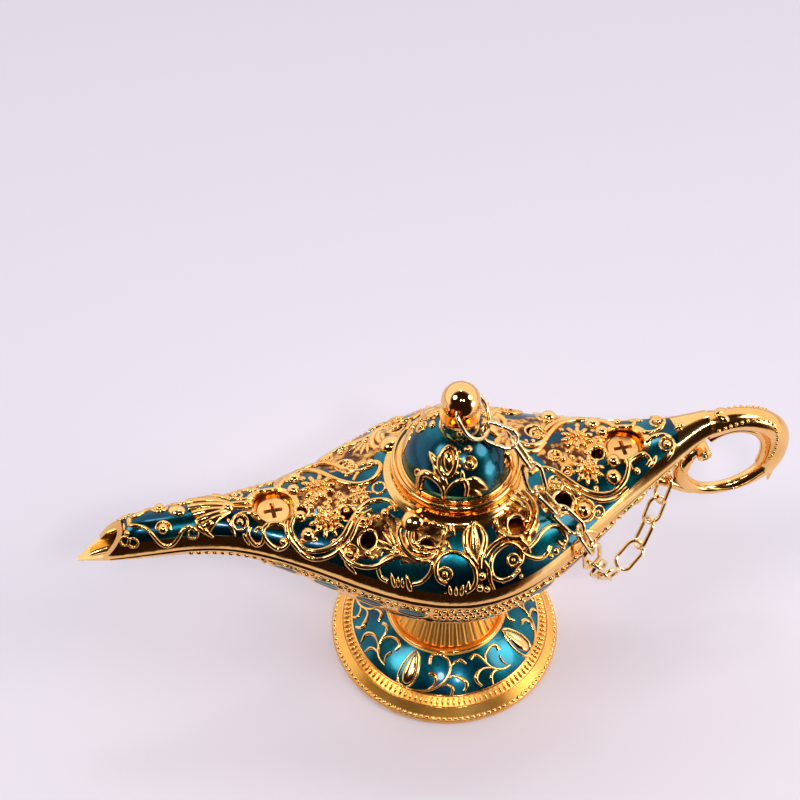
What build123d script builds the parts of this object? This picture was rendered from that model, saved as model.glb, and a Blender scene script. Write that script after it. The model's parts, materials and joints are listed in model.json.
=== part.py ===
from build123d import *
import math
import os

# Cast and enamelled oil lamp with a lift-off lid on a chain. Millimetres, +Z up,
# origin at the centre of the foot's flat underside, handle on +X, spout on -X.

# foot
foot_radius = 24.0
foot_bead_height = 1.3
foot_bead_inset = 0.5
foot_band_radius = 21.6
foot_band_height = 3.0
foot_rib_radius = 20.0
foot_rib_height = 3.9
foot_field_radius = 12.4
foot_field_height = 8.7
foot_field_bulge = 0.35
foot_collar_radius = 11.6
foot_neck_radius = 6.9
foot_neck_height = 17.4
foot_top_height = 19.2
foot_wall = 1.5
foot_enamel_depth = 0.5
foot_enamel_border = 0.35
foot_boss_radius = 3.6
flute_count = 40
flute_radius = 0.62
flute_sink = 0.28
flute_margin = 0.7
foot_hole_gap = 0.15

# hull: stations along the length
spout_reach = 72.9
tail_reach = 50.5
hull_half_width = 22.8
rim_height = 41.8
crown_rise = 13.7
keel_drop = 22.3
shell_wall = 1.2
shell_joint_gap = 0.05
rim_overhang = 0.5
hollow_overlap = 0.5
spout_wall_share = 0.34
mouth_lip_back = 4.6
mouth_slope_angle = 51.0
# the lid's middle stands at this share of the length
collar_share = 0.590762
# share of the length from the spout tip, then shares of half width, rim height, crown rise and keel drop
station_shares = [
    (0.0000, 0.035, 1.117, 0.044, 0.022),
    (0.0194, 0.088, 1.146, 0.175, 0.076),
    (0.0397, 0.132, 1.170, 0.292, 0.126),
    (0.0721, 0.167, 1.187, 0.343, 0.179),
    (0.1207, 0.193, 1.196, 0.387, 0.224),
    (0.1775, 0.211, 1.191, 0.400, 0.247),
    (0.2342, 0.259, 1.170, 0.423, 0.287),
    (0.3023, 0.373, 1.120, 0.440, 0.404),
    (0.3639, 0.526, 1.067, 0.555, 0.561),
    (0.4287, 0.728, 1.029, 0.686, 0.744),
    (0.4935, 0.899, 1.010, 0.854, 0.910),
    (0.5583, 0.996, 1.000, 0.993, 0.996),
    (0.6232, 1.000, 1.000, 1.000, 1.000),
    (0.6880, 0.908, 1.012, 0.876, 0.919),
    (0.7528, 0.741, 1.043, 0.701, 0.762),
    (0.8177, 0.544, 1.091, 0.555, 0.583),
    (0.8825, 0.368, 1.156, 0.401, 0.413),
    (0.9473, 0.219, 1.234, 0.277, 0.260),
    (1.0000, 0.127, 1.301, 0.226, 0.143),
]

# upper shell: collar, recesses, piercings, enamel
rim_band = 3.0
enamel_depth = 0.5
enamel_gap = 0.03
enamel_sink = 0.06
enamel_first_station = 3
enamel_last_station = 17
enamel_border = 0.5
enamel_split_reach = 0.8
enamel_split_gap = 1.6
collar_foot_radius = 13.4
collar_foot_height = 53.4
collar_waist_radius = 12.1
collar_waist_height = 55.2
collar_top_radius = 12.5
collar_top_height = 56.5
collar_bore_radius = 9.9
collar_skirt_drop = 3.8
collar_skirt_radius = 11.4
# piercings: shares of the tail or spout reach, of the half width there, and of the rim band for the radius
tail_piercing_shares = [
    (0.374, -0.566, 0.58), (0.166, -0.640, 0.53), (0.554, -0.100, 0.40),
    (0.392, 0.0, 0.30), (0.418, -0.245, 0.23), (0.356, 0.400, 0.57), (0.166, 0.640, 0.53),
]
spout_piercing_shares = [
    (0.417, -0.180, 0.30), (0.304, -0.270, 0.42), (0.276, 0.455, 0.47),
    (0.266, -0.590, 0.47), (0.117, 0.680, 0.45), (0.128, -0.690, 0.53),
]

# screws
screw_head_radius = 3.3
screw_head_height = 1.5
screw_edge = 0.3
screw_shank_radius = 1.55
screw_length = 9.0
screw_hole_gap = 0.15
screw_recess_radius = 3.95
screw_cup_wall = 1.1
screw_seat_height = 1.6
screw_cross_length = 3.6
screw_cross_width = 0.8
screw_cross_depth = 0.9
front_screw_share = 0.48834
front_screw_top = 51.0
rear_screw_share = 0.669307
rear_screw_top = 51.7
boss_radius = 2.9
boss_root_depth = 2.0
root_wall_share = 0.5
foot_screw_length = 9.6
foot_boss_top = 27.6
hull_pad_radius = 6.2
hull_pad_top = 21.4
washer_radius = 5.0
washer_height = 0.8

# lid
lid_seat_gap = 0.1
lid_lip_radius = 12.3
lid_lip_height = 1.0
lid_lip_dish = 0.35
lid_lip_round = 0.45
lid_spigot_radius = 9.6
lid_spigot_depth = 3.4
lid_wall = 1.0
lid_enamel_radius = 10.4
dome_top_radius = 3.8
dome_top_height = 66.6
dome_shoulder_radius = 8.75
dome_shoulder_height = 62.5
dome_enamel_depth = 0.45
neck_height = 4.0
neck_radius = 3.75
neck_waist_radius = 3.1
neck_ring_height = 0.7
neck_enamel_depth = 0.35

# finial ball and its ring
ball_radius = 3.72
ball_height = 74.1
ball_seat_gap = 0.04
ball_peg_radius = 0.9
ball_peg_length = 3.0
ball_peg_gap = 0.06
ball_bore_radius = 1.4
bore_heading_angle = 59.4
ring_mean_radius = 4.7
ring_wire_radius = 0.42
ring_reach = 3.85
ring_dip_angle = 50.0

# chain
link_length = 7.7
link_width = 4.5
link_wire_radius = 0.42
link_play = 0.30
link_count = 15
open_link = 11
open_link_gap = 0.5
link_roll_angle = -50.0
link_turn_angle = 98.0
# the chain's way from the ring to the strut: shares of the tail reach, half width and rim height
chain_route_shares = [
    (0.187, -0.225, 1.580), (0.236, -0.379, 1.488), (0.245, -0.457, 1.386), (0.310, -0.529, 1.289),
    (0.366, -0.700, 1.246), (0.441, -0.787, 1.153), (0.457, -0.785, 0.972), (0.545, -0.575, 0.730),
    (0.622, -0.404, 0.5215), (0.719, -0.289, 0.4635), (0.790, -0.175, 0.616), (0.830, -0.088, 0.684),
]

# handle
handle_root_radius = 2.85
handle_tube_radius = 2.35
handle_loop_radius = 1.55
handle_strut_radius = 1.1
handle_tenon_radius = 1.1
handle_tenon_length = 3.0
handle_tenon_gap = 0.08
handle_seam_gap = 0.1
handle_length = 19.0
handle_drop = 22.0
volute_radius = 2.4
volute_thickness = 3.0
scroll_radius = 1.5
scroll_thickness = 3.4
spike_radius = 1.25
spike_length = 5.6
rib_radius = 0.8
# the handle's lines in its own plane: shares of its length back from the seam and of its drop
handle_tube_shares = [
    (0.0, 0.0), (0.310, 0.014), (0.610, -0.073), (0.811, -0.245), (0.874, -0.482), (0.832, -0.718),
    (0.632, -0.900), (0.353, -0.968), (0.084, -0.923), (-0.111, -0.764), (-0.174, -0.564), (-0.111, -0.391),
    (-0.021, -0.336),
]
tube_end_tangent_shares = (1, 0, 0.6)
handle_rib_shares = [
    (0.084, -0.218), (0.326, -0.132), (0.558, -0.205), (0.700, -0.359), (0.737, -0.541), (0.716, -0.682),
]
handle_strut_shares = [(0.084, -0.923), (-0.226, -0.791), (-0.432, -0.691), (-0.605, -0.700), (-0.684, -0.745)]
handle_volute_shares = (-0.700, -0.827)
handle_scroll_shares = (0.016, -0.355)
handle_spike_shares = (0.874, -0.730)
chain_hold_share = 0.54
spike_lean_angle = 3.0
spike_tip_radius = 0.22
handle_thin_share = 0.62

overrun = 2.0

front_screw_reach = front_screw_share * spout_reach
rear_screw_reach = rear_screw_share * tail_reach
os.makedirs("parts", exist_ok=True)


def station(i):
    """Place, half width, rim height, crown rise and keel drop at one station."""
    s, w, r, c, k = station_shares[i]
    x = (s / collar_share - 1) * spout_reach
    if s > collar_share:
        x = (s - collar_share) / (1 - collar_share) * tail_reach
    return (x, w * hull_half_width, r * rim_height, c * crown_rise, k * keel_drop)


def at_place(x):
    """The same five sizes at any place along the hull."""
    for i in range(len(station_shares) - 1):
        a, b = station(i), station(i + 1)
        if x <= b[0] or i == len(station_shares) - 2:
            t = (x - a[0]) / (b[0] - a[0])
            return tuple(p + (q - p) * t for p, q in zip(a, b))


def half_section(x, z, half_width, rise, turn=180):
    """Half an ellipse on a plane square to X: it stands up for a turn of 180 and hangs for one of -180."""
    with BuildSketch(Plane(origin=(x, 0, z), x_dir=(0, 1, 0), z_dir=(1, 0, 0))) as face:
        with BuildLine():
            arc = EllipticalCenterArc((0, 0), half_width, rise, 0, arc_size=turn)
            Line(arc @ 1, arc @ 0)
        make_face()
    return face.sketch


def band_section(x, z, half_width, rise, outer, inner):
    """A curved strip that follows the upper ellipse from one rim band to the other."""
    turn = math.degrees(math.asin(rim_band / rise))
    with BuildSketch(Plane(origin=(x, 0, z), x_dir=(0, 1, 0), z_dir=(1, 0, 0))) as face:
        with BuildLine():
            top = EllipticalCenterArc((0, 0), half_width + outer, rise + outer, turn, arc_size=180 - 2 * turn)
            low = EllipticalCenterArc((0, 0), half_width - inner, rise - inner, turn, arc_size=180 - 2 * turn)
            Line(top @ 0, low @ 0)
            Line(top @ 1, low @ 1)
        make_face()
    return face.sketch


last_station = len(station_shares) - 1
seam_x, seam_w, seam_z, seam_c, seam_k = station(last_station)
seam_centre_z = seam_z + (seam_c - seam_k) / 2


def shell_wall_at(half_width):
    """Wall that thins with the spout, so that the bore stays open to the tip."""
    return min(shell_wall, spout_wall_share * half_width)


def upper_solid(inside):
    """The crowned half of the hull, whole or as its hollow."""
    with BuildPart() as half:
        for i in range(1, last_station) if inside else range(last_station + 1):
            x, w, z, c, k = station(i)
            wall = shell_wall_at(w) if inside else 0
            drop = hollow_overlap if inside else 0
            add(half_section(x, z - drop, w - wall, c + drop - wall))
        loft()
    return half.part


def lower_solid(depth_share):
    """The keel half of the hull: whole at a share of 0, its hollow at 1, and to the middle of its wall at a half."""
    with BuildPart() as half:
        for i in range(1, last_station) if depth_share else range(last_station + 1):
            x, w, z, c, k = station(i)
            inset = min(rim_overhang, w / 2)
            wall = depth_share * shell_wall_at(w - inset)
            drop = -hollow_overlap if depth_share else shell_joint_gap
            add(half_section(x, z - drop, w - inset - wall, k - drop - wall, -180))
        loft()
    return half.part


def cylinder_between(x, y, low, high, radius):
    """An upright cylinder from one height to another."""
    with BuildPart() as post:
        with BuildSketch(Plane.XY.offset(low)):
            with Locations((x, y)):
                Circle(radius)
        extrude(amount=high - low)
    return post.part


def piercings(extra):
    """Upright posts where the openwork is pierced."""
    with BuildPart() as posts:
        with BuildSketch(Plane.XY.offset(rim_height + rim_band)):
            for reach, table in ((tail_reach, tail_piercing_shares), (-spout_reach, spout_piercing_shares)):
                for along, across, size in table:
                    x = along * reach
                    with Locations((x, across * at_place(x)[1])):
                        Circle(size * rim_band + extra)
        extrude(amount=crown_rise + overrun)
    return posts.part


def enamel_blank(outer, inner, gap):
    """The enamelled field of the upper shell, round the collar and the two screw cups."""
    with BuildPart() as field:
        for i in range(enamel_first_station, enamel_last_station + 1):
            x, w, z, c, k = station(i)
            add(band_section(x, z, w, c, outer, inner))
        loft()
        low, high = rim_height, rim_height + crown_rise + rim_band * overrun
        add(cylinder_between(0, 0, low, high, collar_foot_radius + enamel_border + gap), mode=Mode.SUBTRACT)
        cup = screw_recess_radius + screw_cup_wall + gap
        add(cylinder_between(-front_screw_reach, 0, low, high, cup), mode=Mode.SUBTRACT)
        add(cylinder_between(rear_screw_reach, 0, low, high, cup), mode=Mode.SUBTRACT)
        with Locations((-enamel_split_reach, 0, (low + high) / 2)):
            Box(enamel_split_gap + 2 * gap, 2 * overrun * hull_half_width, high - low, mode=Mode.SUBTRACT)
    return field.part


def screw(head_radius, shank_radius, length):
    """A pan-head screw with a cross recess, its seat at the origin and its head up."""
    with BuildPart() as made:
        with BuildSketch():
            Circle(head_radius)
        extrude(amount=screw_head_height)
        chamfer(made.faces().sort_by(Axis.Z)[-1].edges(), screw_edge)
        with BuildSketch():
            Circle(shank_radius)
        extrude(amount=-length)
        chamfer(made.faces().sort_by(Axis.Z)[0].edges(), screw_edge)
        with BuildSketch(Plane.XY.offset(screw_head_height - screw_cross_depth)):
            Rectangle(screw_cross_length, screw_cross_width)
            Rectangle(screw_cross_width, screw_cross_length)
        extrude(amount=screw_cross_depth + overrun, mode=Mode.SUBTRACT)
    return made.part


# upper shell: crowned half of the hull with spout mouth, collar, screw cups and openwork
upper_outer = upper_solid(False)
enamel_recess = enamel_blank(enamel_depth, enamel_depth, 0)
mouth_x = mouth_lip_back - spout_reach
mouth_z = at_place(mouth_x)[2]
mouth_run = (crown_rise + rim_band) / math.tan(math.radians(mouth_slope_angle))
skirt_low = collar_foot_height - collar_skirt_drop
with BuildPart() as upper_shell:
    add(upper_outer)
    add(upper_solid(True), mode=Mode.SUBTRACT)
    for reach, top in ((-front_screw_reach, front_screw_top), (rear_screw_reach, rear_screw_top)):
        seat = top - screw_head_height - screw_seat_height
        add(cylinder_between(reach, 0, seat, top, screw_recess_radius + screw_cup_wall))
    with BuildSketch(Plane.XZ):
        with BuildLine():
            top_left = Polyline(
                (collar_bore_radius, collar_top_height), (collar_bore_radius, skirt_low),
                (collar_skirt_radius, skirt_low), (collar_foot_radius, collar_foot_height))
            cove = ThreePointArc(
                top_left @ 1, (collar_waist_radius, collar_waist_height), (collar_top_radius, collar_top_height))
            Line(cove @ 1, top_left @ 0)
        make_face()
    revolve(axis=Axis.Z)
    add(cylinder_between(0, 0, rim_height, collar_top_height + overrun, collar_bore_radius), mode=Mode.SUBTRACT)
    for reach, top in ((-front_screw_reach, front_screw_top), (rear_screw_reach, rear_screw_top)):
        seat = top - screw_head_height
        add(cylinder_between(reach, 0, seat, top + crown_rise, screw_recess_radius), mode=Mode.SUBTRACT)
        hole = screw_shank_radius + screw_hole_gap
        add(cylinder_between(reach, 0, seat - crown_rise, top, hole), mode=Mode.SUBTRACT)
    add(enamel_recess, mode=Mode.SUBTRACT)
    add(piercings(0), mode=Mode.SUBTRACT)
    with BuildSketch(Plane.XZ):
        with BuildLine():
            Polyline(
                (mouth_x, mouth_z - crown_rise), (mouth_x, mouth_z),
                (mouth_x + mouth_run, mouth_z + crown_rise + rim_band),
                (-spout_reach - overrun, mouth_z + crown_rise + rim_band),
                (-spout_reach - overrun, mouth_z - crown_rise), close=True)
        make_face()
    extrude(amount=hull_half_width, both=True, mode=Mode.SUBTRACT)
    with BuildSketch(Plane(origin=(seam_x, 0, seam_centre_z), x_dir=(0, 1, 0), z_dir=(1, 0, 0))):
        Circle(handle_tenon_radius + handle_tenon_gap)
    extrude(amount=-handle_tenon_length - handle_tenon_gap, mode=Mode.SUBTRACT)

# enamel of the upper shell, in a front and a rear field
enamel_field = enamel_blank(-enamel_sink, enamel_depth - enamel_gap, enamel_gap)
with BuildPart() as enamel_whole:
    add(enamel_field)
    add(piercings(enamel_border), mode=Mode.SUBTRACT)
    with BuildSketch(Plane.XZ):
        with BuildLine():
            Polyline(
                (mouth_x, mouth_z - crown_rise), (mouth_x + enamel_border, mouth_z),
                (mouth_x + mouth_run + enamel_border, mouth_z + crown_rise + rim_band),
                (-spout_reach - overrun, mouth_z + crown_rise + rim_band),
                (-spout_reach - overrun, mouth_z - crown_rise), close=True)
        make_face()
    extrude(amount=hull_half_width, both=True, mode=Mode.SUBTRACT)
with BuildPart() as enamel_front:
    add(enamel_whole.part)
    with Locations((-enamel_split_reach + tail_reach + overrun, 0, rim_height)):
        Box(2 * (tail_reach + overrun), 2 * overrun * hull_half_width, 2 * rim_height, mode=Mode.SUBTRACT)
with BuildPart() as enamel_rear:
    add(enamel_whole.part)
    with Locations((-enamel_split_reach - spout_reach - overrun, 0, rim_height)):
        Box(2 * (spout_reach + overrun), 2 * overrun * hull_half_width, 2 * rim_height, mode=Mode.SUBTRACT)

# lower shell: keel half of the hull with two screw bosses, a foot boss and its flat pad
front_seat = front_screw_top - screw_head_height - screw_seat_height - shell_joint_gap
rear_seat = rear_screw_top - screw_head_height - screw_seat_height - shell_joint_gap
with BuildPart() as bosses:
    for reach, top in ((-front_screw_reach, front_seat), (rear_screw_reach, rear_seat)):
        add(cylinder_between(reach, 0, foot_top_height, at_place(reach)[2] - boss_root_depth, boss_radius))
    add(lower_solid(root_wall_share), mode=Mode.INTERSECT)
    for reach, top in ((-front_screw_reach, front_seat), (rear_screw_reach, rear_seat)):
        low = at_place(reach)[2] - boss_root_depth - shell_wall
        add(cylinder_between(reach, 0, low, top, boss_radius))
with BuildPart() as lower_shell:
    add(lower_solid(0))
    add(lower_solid(1), mode=Mode.SUBTRACT)
    add(bosses.part)
    add(cylinder_between(0, 0, foot_top_height + shell_joint_gap, hull_pad_top, hull_pad_radius))
    add(cylinder_between(0, 0, hull_pad_top, foot_boss_top, foot_boss_radius))
    hole = screw_shank_radius + screw_hole_gap
    for reach, top in ((-front_screw_reach, front_screw_top), (rear_screw_reach, rear_screw_top)):
        low = top - screw_head_height - screw_length - screw_hole_gap
        add(cylinder_between(reach, 0, low, top, hole), mode=Mode.SUBTRACT)
    add(cylinder_between(0, 0, foot_top_height - overrun, foot_boss_top - shell_wall, hole), mode=Mode.SUBTRACT)
    with BuildSketch(Plane(origin=(seam_x, 0, seam_centre_z), x_dir=(0, 1, 0), z_dir=(1, 0, 0))):
        Circle(handle_tenon_radius + handle_tenon_gap)
    extrude(amount=-handle_tenon_length - handle_tenon_gap, mode=Mode.SUBTRACT)

# screws that clamp the two shells
with BuildPart() as front_screw:
    with Locations((-front_screw_reach, 0, front_screw_top - screw_head_height)):
        add(screw(screw_head_radius, screw_shank_radius, screw_length))
with BuildPart() as rear_screw:
    with Locations((rear_screw_reach, 0, rear_screw_top - screw_head_height)):
        add(screw(screw_head_radius, screw_shank_radius, screw_length))

# foot: hollow flared casting with beaded edge, enamelled field and fluted neck
with BuildPart() as foot:
    with BuildSketch(Plane.XZ):
        with BuildLine():
            bead = ThreePointArc(
                (foot_radius - foot_bead_inset, 0), (foot_radius, foot_bead_height / 2),
                (foot_radius - foot_bead_inset, foot_bead_height))
            band = Polyline(bead @ 1, (foot_band_radius, foot_band_height), (foot_rib_radius, foot_rib_height))
            field_middle = ((foot_rib_radius + foot_field_radius) / 2,
                            (foot_rib_height + foot_field_height) / 2 + foot_field_bulge)
            field = ThreePointArc(band @ 1, field_middle, (foot_field_radius, foot_field_height))
            Polyline(
                field @ 1, (foot_collar_radius, foot_field_height), (foot_neck_radius, foot_neck_height),
                (foot_neck_radius, foot_top_height), (0, foot_top_height), (0, foot_neck_height),
                (foot_neck_radius - foot_wall, foot_neck_height),
                (foot_collar_radius - foot_wall, foot_field_height - foot_wall),
                (foot_rib_radius, foot_rib_height - foot_wall), (foot_radius - foot_wall - foot_bead_inset, 0),
                bead @ 0)
        make_face()
    revolve(axis=Axis.Z)
    field_drop = foot_field_height - foot_rib_height
    field_run = foot_rib_radius - foot_field_radius
    field_length = math.hypot(field_drop, field_run)
    sink_x = foot_enamel_depth * field_drop / field_length
    sink_z = foot_enamel_depth * field_run / field_length
    edge_x = foot_enamel_border * field_run / field_length
    edge_z = foot_enamel_border * field_drop / field_length
    low_edge = (foot_rib_radius - edge_x, foot_rib_height + edge_z)
    high_edge = (foot_field_radius + edge_x, foot_field_height - edge_z)
    with BuildSketch(Plane.XZ):
        with BuildLine():
            Polyline(
                (low_edge[0] - sink_x, low_edge[1] - sink_z), (high_edge[0] - sink_x, high_edge[1] - sink_z),
                (high_edge[0] + sink_x * overrun, high_edge[1] + sink_z * overrun),
                (low_edge[0] + sink_x * overrun, low_edge[1] + sink_z * overrun), close=True)
        make_face()
    revolve(axis=Axis.Z, mode=Mode.SUBTRACT)
    flute_low = (foot_collar_radius, foot_field_height)
    flute_high = (foot_neck_radius, foot_neck_height)
    slope_x, slope_z = flute_low[0] - flute_high[0], flute_high[1] - flute_low[1]
    slope_length = math.hypot(slope_x, slope_z)
    rise_off = flute_radius - flute_sink
    with PolarLocations((flute_low[0] + flute_high[0]) / 2 + rise_off * slope_z / slope_length, flute_count):
        with Locations(Location(
                (0, 0, (flute_low[1] + flute_high[1]) / 2 + rise_off * slope_x / slope_length),
                (0, -math.degrees(math.atan2(slope_x, slope_z)), 0))):
            Cylinder(flute_radius, slope_length - 2 * flute_margin, mode=Mode.SUBTRACT)
    add(cylinder_between(0, 0, 0, foot_top_height + overrun, screw_shank_radius + foot_hole_gap), mode=Mode.SUBTRACT)

# enamel ring of the foot
with BuildPart() as foot_enamel:
    with BuildSketch(Plane.XZ):
        with BuildLine():
            deep = (foot_enamel_depth - enamel_gap) / foot_enamel_depth
            in_x = enamel_gap * field_run / field_length
            in_z = enamel_gap * field_drop / field_length
            low_out = (low_edge[0] - in_x, low_edge[1] + in_z)
            high_out = (high_edge[0] + in_x, high_edge[1] - in_z)
            low_in = (low_out[0] - deep * sink_x, low_out[1] - deep * sink_z)
            high_in = (high_out[0] - deep * sink_x, high_out[1] - deep * sink_z)
            crown = ThreePointArc(
                low_out, (field_middle[0], field_middle[1] - enamel_sink), high_out)
            Polyline(high_out, high_in, low_in, low_out)
        make_face()
    revolve(axis=Axis.Z)

# screw and washer that hold the foot
with BuildPart() as foot_washer:
    add(cylinder_between(0, 0, foot_neck_height - washer_height, foot_neck_height, washer_radius))
    add(cylinder_between(0, 0, 0, foot_top_height, screw_shank_radius + foot_hole_gap), mode=Mode.SUBTRACT)
with BuildPart() as foot_screw:
    with Locations(Location((0, 0, foot_neck_height - washer_height), (180, 0, 0))):
        add(screw(screw_head_radius, screw_shank_radius, foot_screw_length))

# lid: lip, spigot and dome in one casting
seat_height = collar_top_height + lid_seat_gap
lip_top = seat_height + lid_lip_height
lip_floor = lip_top - lid_lip_dish
spigot_low = seat_height - lid_spigot_depth
core_in = dome_enamel_depth
with BuildPart() as lid:
    with BuildSketch(Plane.XZ):
        with BuildLine():
            edge = Polyline(
                (lid_spigot_radius - lid_wall, spigot_low), (lid_spigot_radius, spigot_low),
                (lid_spigot_radius, seat_height), (lid_lip_radius - lid_lip_round, seat_height))
            lip = ThreePointArc(
                edge @ 1, (lid_lip_radius, (seat_height + lip_top) / 2), (lid_lip_radius - lid_lip_round, lip_top))
            floor = Polyline(
                lip @ 1, (lid_lip_radius - 2 * lid_lip_round, lip_floor), (lid_enamel_radius, lip_floor),
                (lid_enamel_radius - core_in, lip_floor))
            core = ThreePointArc(
                floor @ 1, (dome_shoulder_radius - core_in, dome_shoulder_height - core_in),
                (dome_top_radius - core_in, dome_top_height))
            crown = Polyline(
                core @ 1, (0, dome_top_height), (0, dome_top_height - 2 * lid_wall),
                (dome_top_radius - lid_wall, dome_top_height - 2 * lid_wall))
            inner = ThreePointArc(
                crown @ 1, (dome_shoulder_radius - core_in - lid_wall, dome_shoulder_height - core_in - lid_wall),
                (lid_spigot_radius - lid_wall, seat_height))
            Line(inner @ 1, edge @ 0)
        make_face()
    revolve(axis=Axis.Z)
    add(cylinder_between(0, 0, dome_top_height - overrun * lid_wall - overrun, dome_top_height + overrun,
                         ball_peg_radius + ball_peg_gap), mode=Mode.SUBTRACT)

# enamel of the dome
with BuildPart() as lid_enamel:
    with BuildSketch(Plane.XZ):
        with BuildLine():
            skin = ThreePointArc(
                (lid_enamel_radius, lip_floor + enamel_gap), (dome_shoulder_radius, dome_shoulder_height),
                (dome_top_radius, dome_top_height))
            under = ThreePointArc(
                (dome_top_radius - core_in + enamel_gap, dome_top_height),
                (dome_shoulder_radius - core_in + enamel_gap, dome_shoulder_height - core_in + enamel_gap),
                (lid_enamel_radius - core_in + enamel_gap, lip_floor + enamel_gap))
            Line(skin @ 1, under @ 0)
            Line(under @ 1, skin @ 0)
        make_face()
    revolve(axis=Axis.Z)

# neck between the dome and the ball, with its own enamel band
neck_low = dome_top_height + ball_seat_gap
neck_high = neck_low + neck_height
with BuildPart() as lid_neck:
    with BuildSketch(Plane.XZ):
        with BuildLine():
            Polyline(
                (ball_peg_radius + ball_peg_gap, neck_low), (neck_radius, neck_low),
                (neck_radius, neck_low + neck_ring_height), (neck_waist_radius, neck_low + neck_ring_height),
                (neck_waist_radius, neck_high - neck_ring_height), (neck_radius, neck_high - neck_ring_height),
                (neck_radius, neck_high), (ball_peg_radius + ball_peg_gap, neck_high), close=True)
        make_face()
    revolve(axis=Axis.Z)
with BuildPart() as neck_enamel:
    with BuildSketch(Plane.XZ):
        with BuildLine():
            side = ThreePointArc(
                (neck_waist_radius + neck_enamel_depth, neck_low + neck_ring_height + enamel_gap),
                (neck_waist_radius + neck_enamel_depth - enamel_sink, (neck_low + neck_high) / 2),
                (neck_waist_radius + neck_enamel_depth, neck_high - neck_ring_height - enamel_gap))
            Polyline(
                side @ 1, (neck_waist_radius + enamel_gap, neck_high - neck_ring_height - enamel_gap),
                (neck_waist_radius + enamel_gap, neck_low + neck_ring_height + enamel_gap), side @ 0)
        make_face()
    revolve(axis=Axis.Z)

# finial ball: cross-bored, with a flat seat and a peg through the neck
bore_turn = math.radians(bore_heading_angle)
bore_way = Vector(math.cos(bore_turn), math.sin(bore_turn), 0)
ball_centre = Vector(0, 0, ball_height)
ball_low = neck_high + ball_seat_gap
with BuildPart() as finial_ball:
    with Locations((0, 0, ball_height)):
        Sphere(ball_radius)
    add(cylinder_between(0, 0, ball_low - overrun, ball_low, ball_radius), mode=Mode.SUBTRACT)
    add(cylinder_between(0, 0, ball_low - ball_peg_length, ball_low + ball_peg_radius, ball_peg_radius))
    with BuildSketch(Plane(origin=ball_centre, z_dir=bore_way)):
        Circle(ball_bore_radius)
    extrude(amount=ball_radius + overrun, both=True, mode=Mode.SUBTRACT)

# wire ring through the ball
dip = math.radians(ring_dip_angle)
ring_way = Vector(math.sin(bore_turn) * math.cos(dip), -math.cos(bore_turn) * math.cos(dip), -math.sin(dip))
ring_centre = ball_centre + ring_way * ring_reach
with BuildPart() as finial_ring:
    with BuildSketch(Plane(origin=ring_centre + bore_way * ring_mean_radius, z_dir=ring_way)):
        Circle(ring_wire_radius)
    revolve(axis=Axis(tuple(ring_centre), tuple(bore_way.cross(ring_way))))

# handle: tube and loop, inner rib, scroll end, strut with volute, spike and tenon
def in_handle(shares):
    """A point of the handle's plane from its shares of length and drop."""
    return (seam_x + handle_seam_gap + shares[0] * handle_length, 0, seam_centre_z + shares[1] * handle_drop)


with BuildPart() as handle:
    with BuildLine() as tube_line:
        tube_path = Spline([in_handle(p) for p in handle_tube_shares], tangents=((1, 0, 0), tube_end_tangent_shares))
    for t, radius in ((0, handle_root_radius), (0.12, handle_tube_radius), (0.36, handle_tube_radius),
                      (0.55, handle_loop_radius), (0.85, handle_loop_radius), (1, handle_thin_share * handle_loop_radius)):
        with BuildSketch(Plane(origin=tube_path @ t, x_dir=(0, 1, 0), z_dir=tube_path % t)):
            Circle(radius)
    sweep(path=tube_path, multisection=True)
    with BuildLine() as rib_line:
        rib_path = Spline([in_handle(p) for p in handle_rib_shares])
    with BuildSketch(Plane(origin=rib_path @ 0, x_dir=(0, 1, 0), z_dir=rib_path % 0)):
        Circle(rib_radius)
    sweep(path=rib_path)
    with BuildLine() as strut_line:
        strut_path = Spline([in_handle(p) for p in handle_strut_shares])
    with BuildSketch(Plane(origin=strut_path @ 0, x_dir=(0, 1, 0), z_dir=strut_path % 0)):
        Circle(handle_strut_radius)
    sweep(path=strut_path)
    with Locations(Location(in_handle(handle_volute_shares), (90, 0, 0))):
        Cylinder(volute_radius, volute_thickness)
    with Locations(Location(in_handle(handle_scroll_shares), (90, 0, 0))):
        Cylinder(scroll_radius, scroll_thickness)
    with Locations(Location(in_handle(handle_spike_shares), (0, -spike_lean_angle, 0))):
        Cone(spike_tip_radius, spike_radius, spike_length, align=(Align.CENTER, Align.CENTER, Align.MAX))
    with BuildSketch(Plane(origin=in_handle((0, 0)), x_dir=(0, 1, 0), z_dir=(1, 0, 0))):
        Circle(handle_tenon_radius)
    extrude(amount=-handle_tenon_length)

# chain: straight-sided links that pass through one another from the ring to the strut
link_reach = link_length - 2 * link_wire_radius
link_side = (link_width - 2 * link_wire_radius) / 2
joint_half = link_wire_radius + link_play / 2
link_pitch = link_reach - 2 * joint_half


def chain_link(start, end, roll):
    """One link from the middle of its first end wire to the middle of its last."""
    way = (end - start).normalized()
    side = way.cross(Vector(0, 0, 1)).normalized().rotate(Axis((0, 0, 0), tuple(way)), roll)
    with BuildPart() as made:
        with BuildLine(Plane(origin=(start + end) * 0.5, x_dir=tuple(way), z_dir=tuple(side))) as outline:
            straight = (end - start).length / 2 - link_side
            top = Line((-straight, link_side), (straight, link_side))
            far = ThreePointArc(top @ 1, (straight + link_side, 0), (straight, -link_side))
            low = Line(far @ 1, (-straight, -link_side))
            ThreePointArc(low @ 1, (-straight - link_side, 0), top @ 0)
        with BuildSketch(Plane(origin=top @ 0, z_dir=tuple(way))):
            Circle(link_wire_radius)
        sweep(path=outline.wire())
    return made.part


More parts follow.
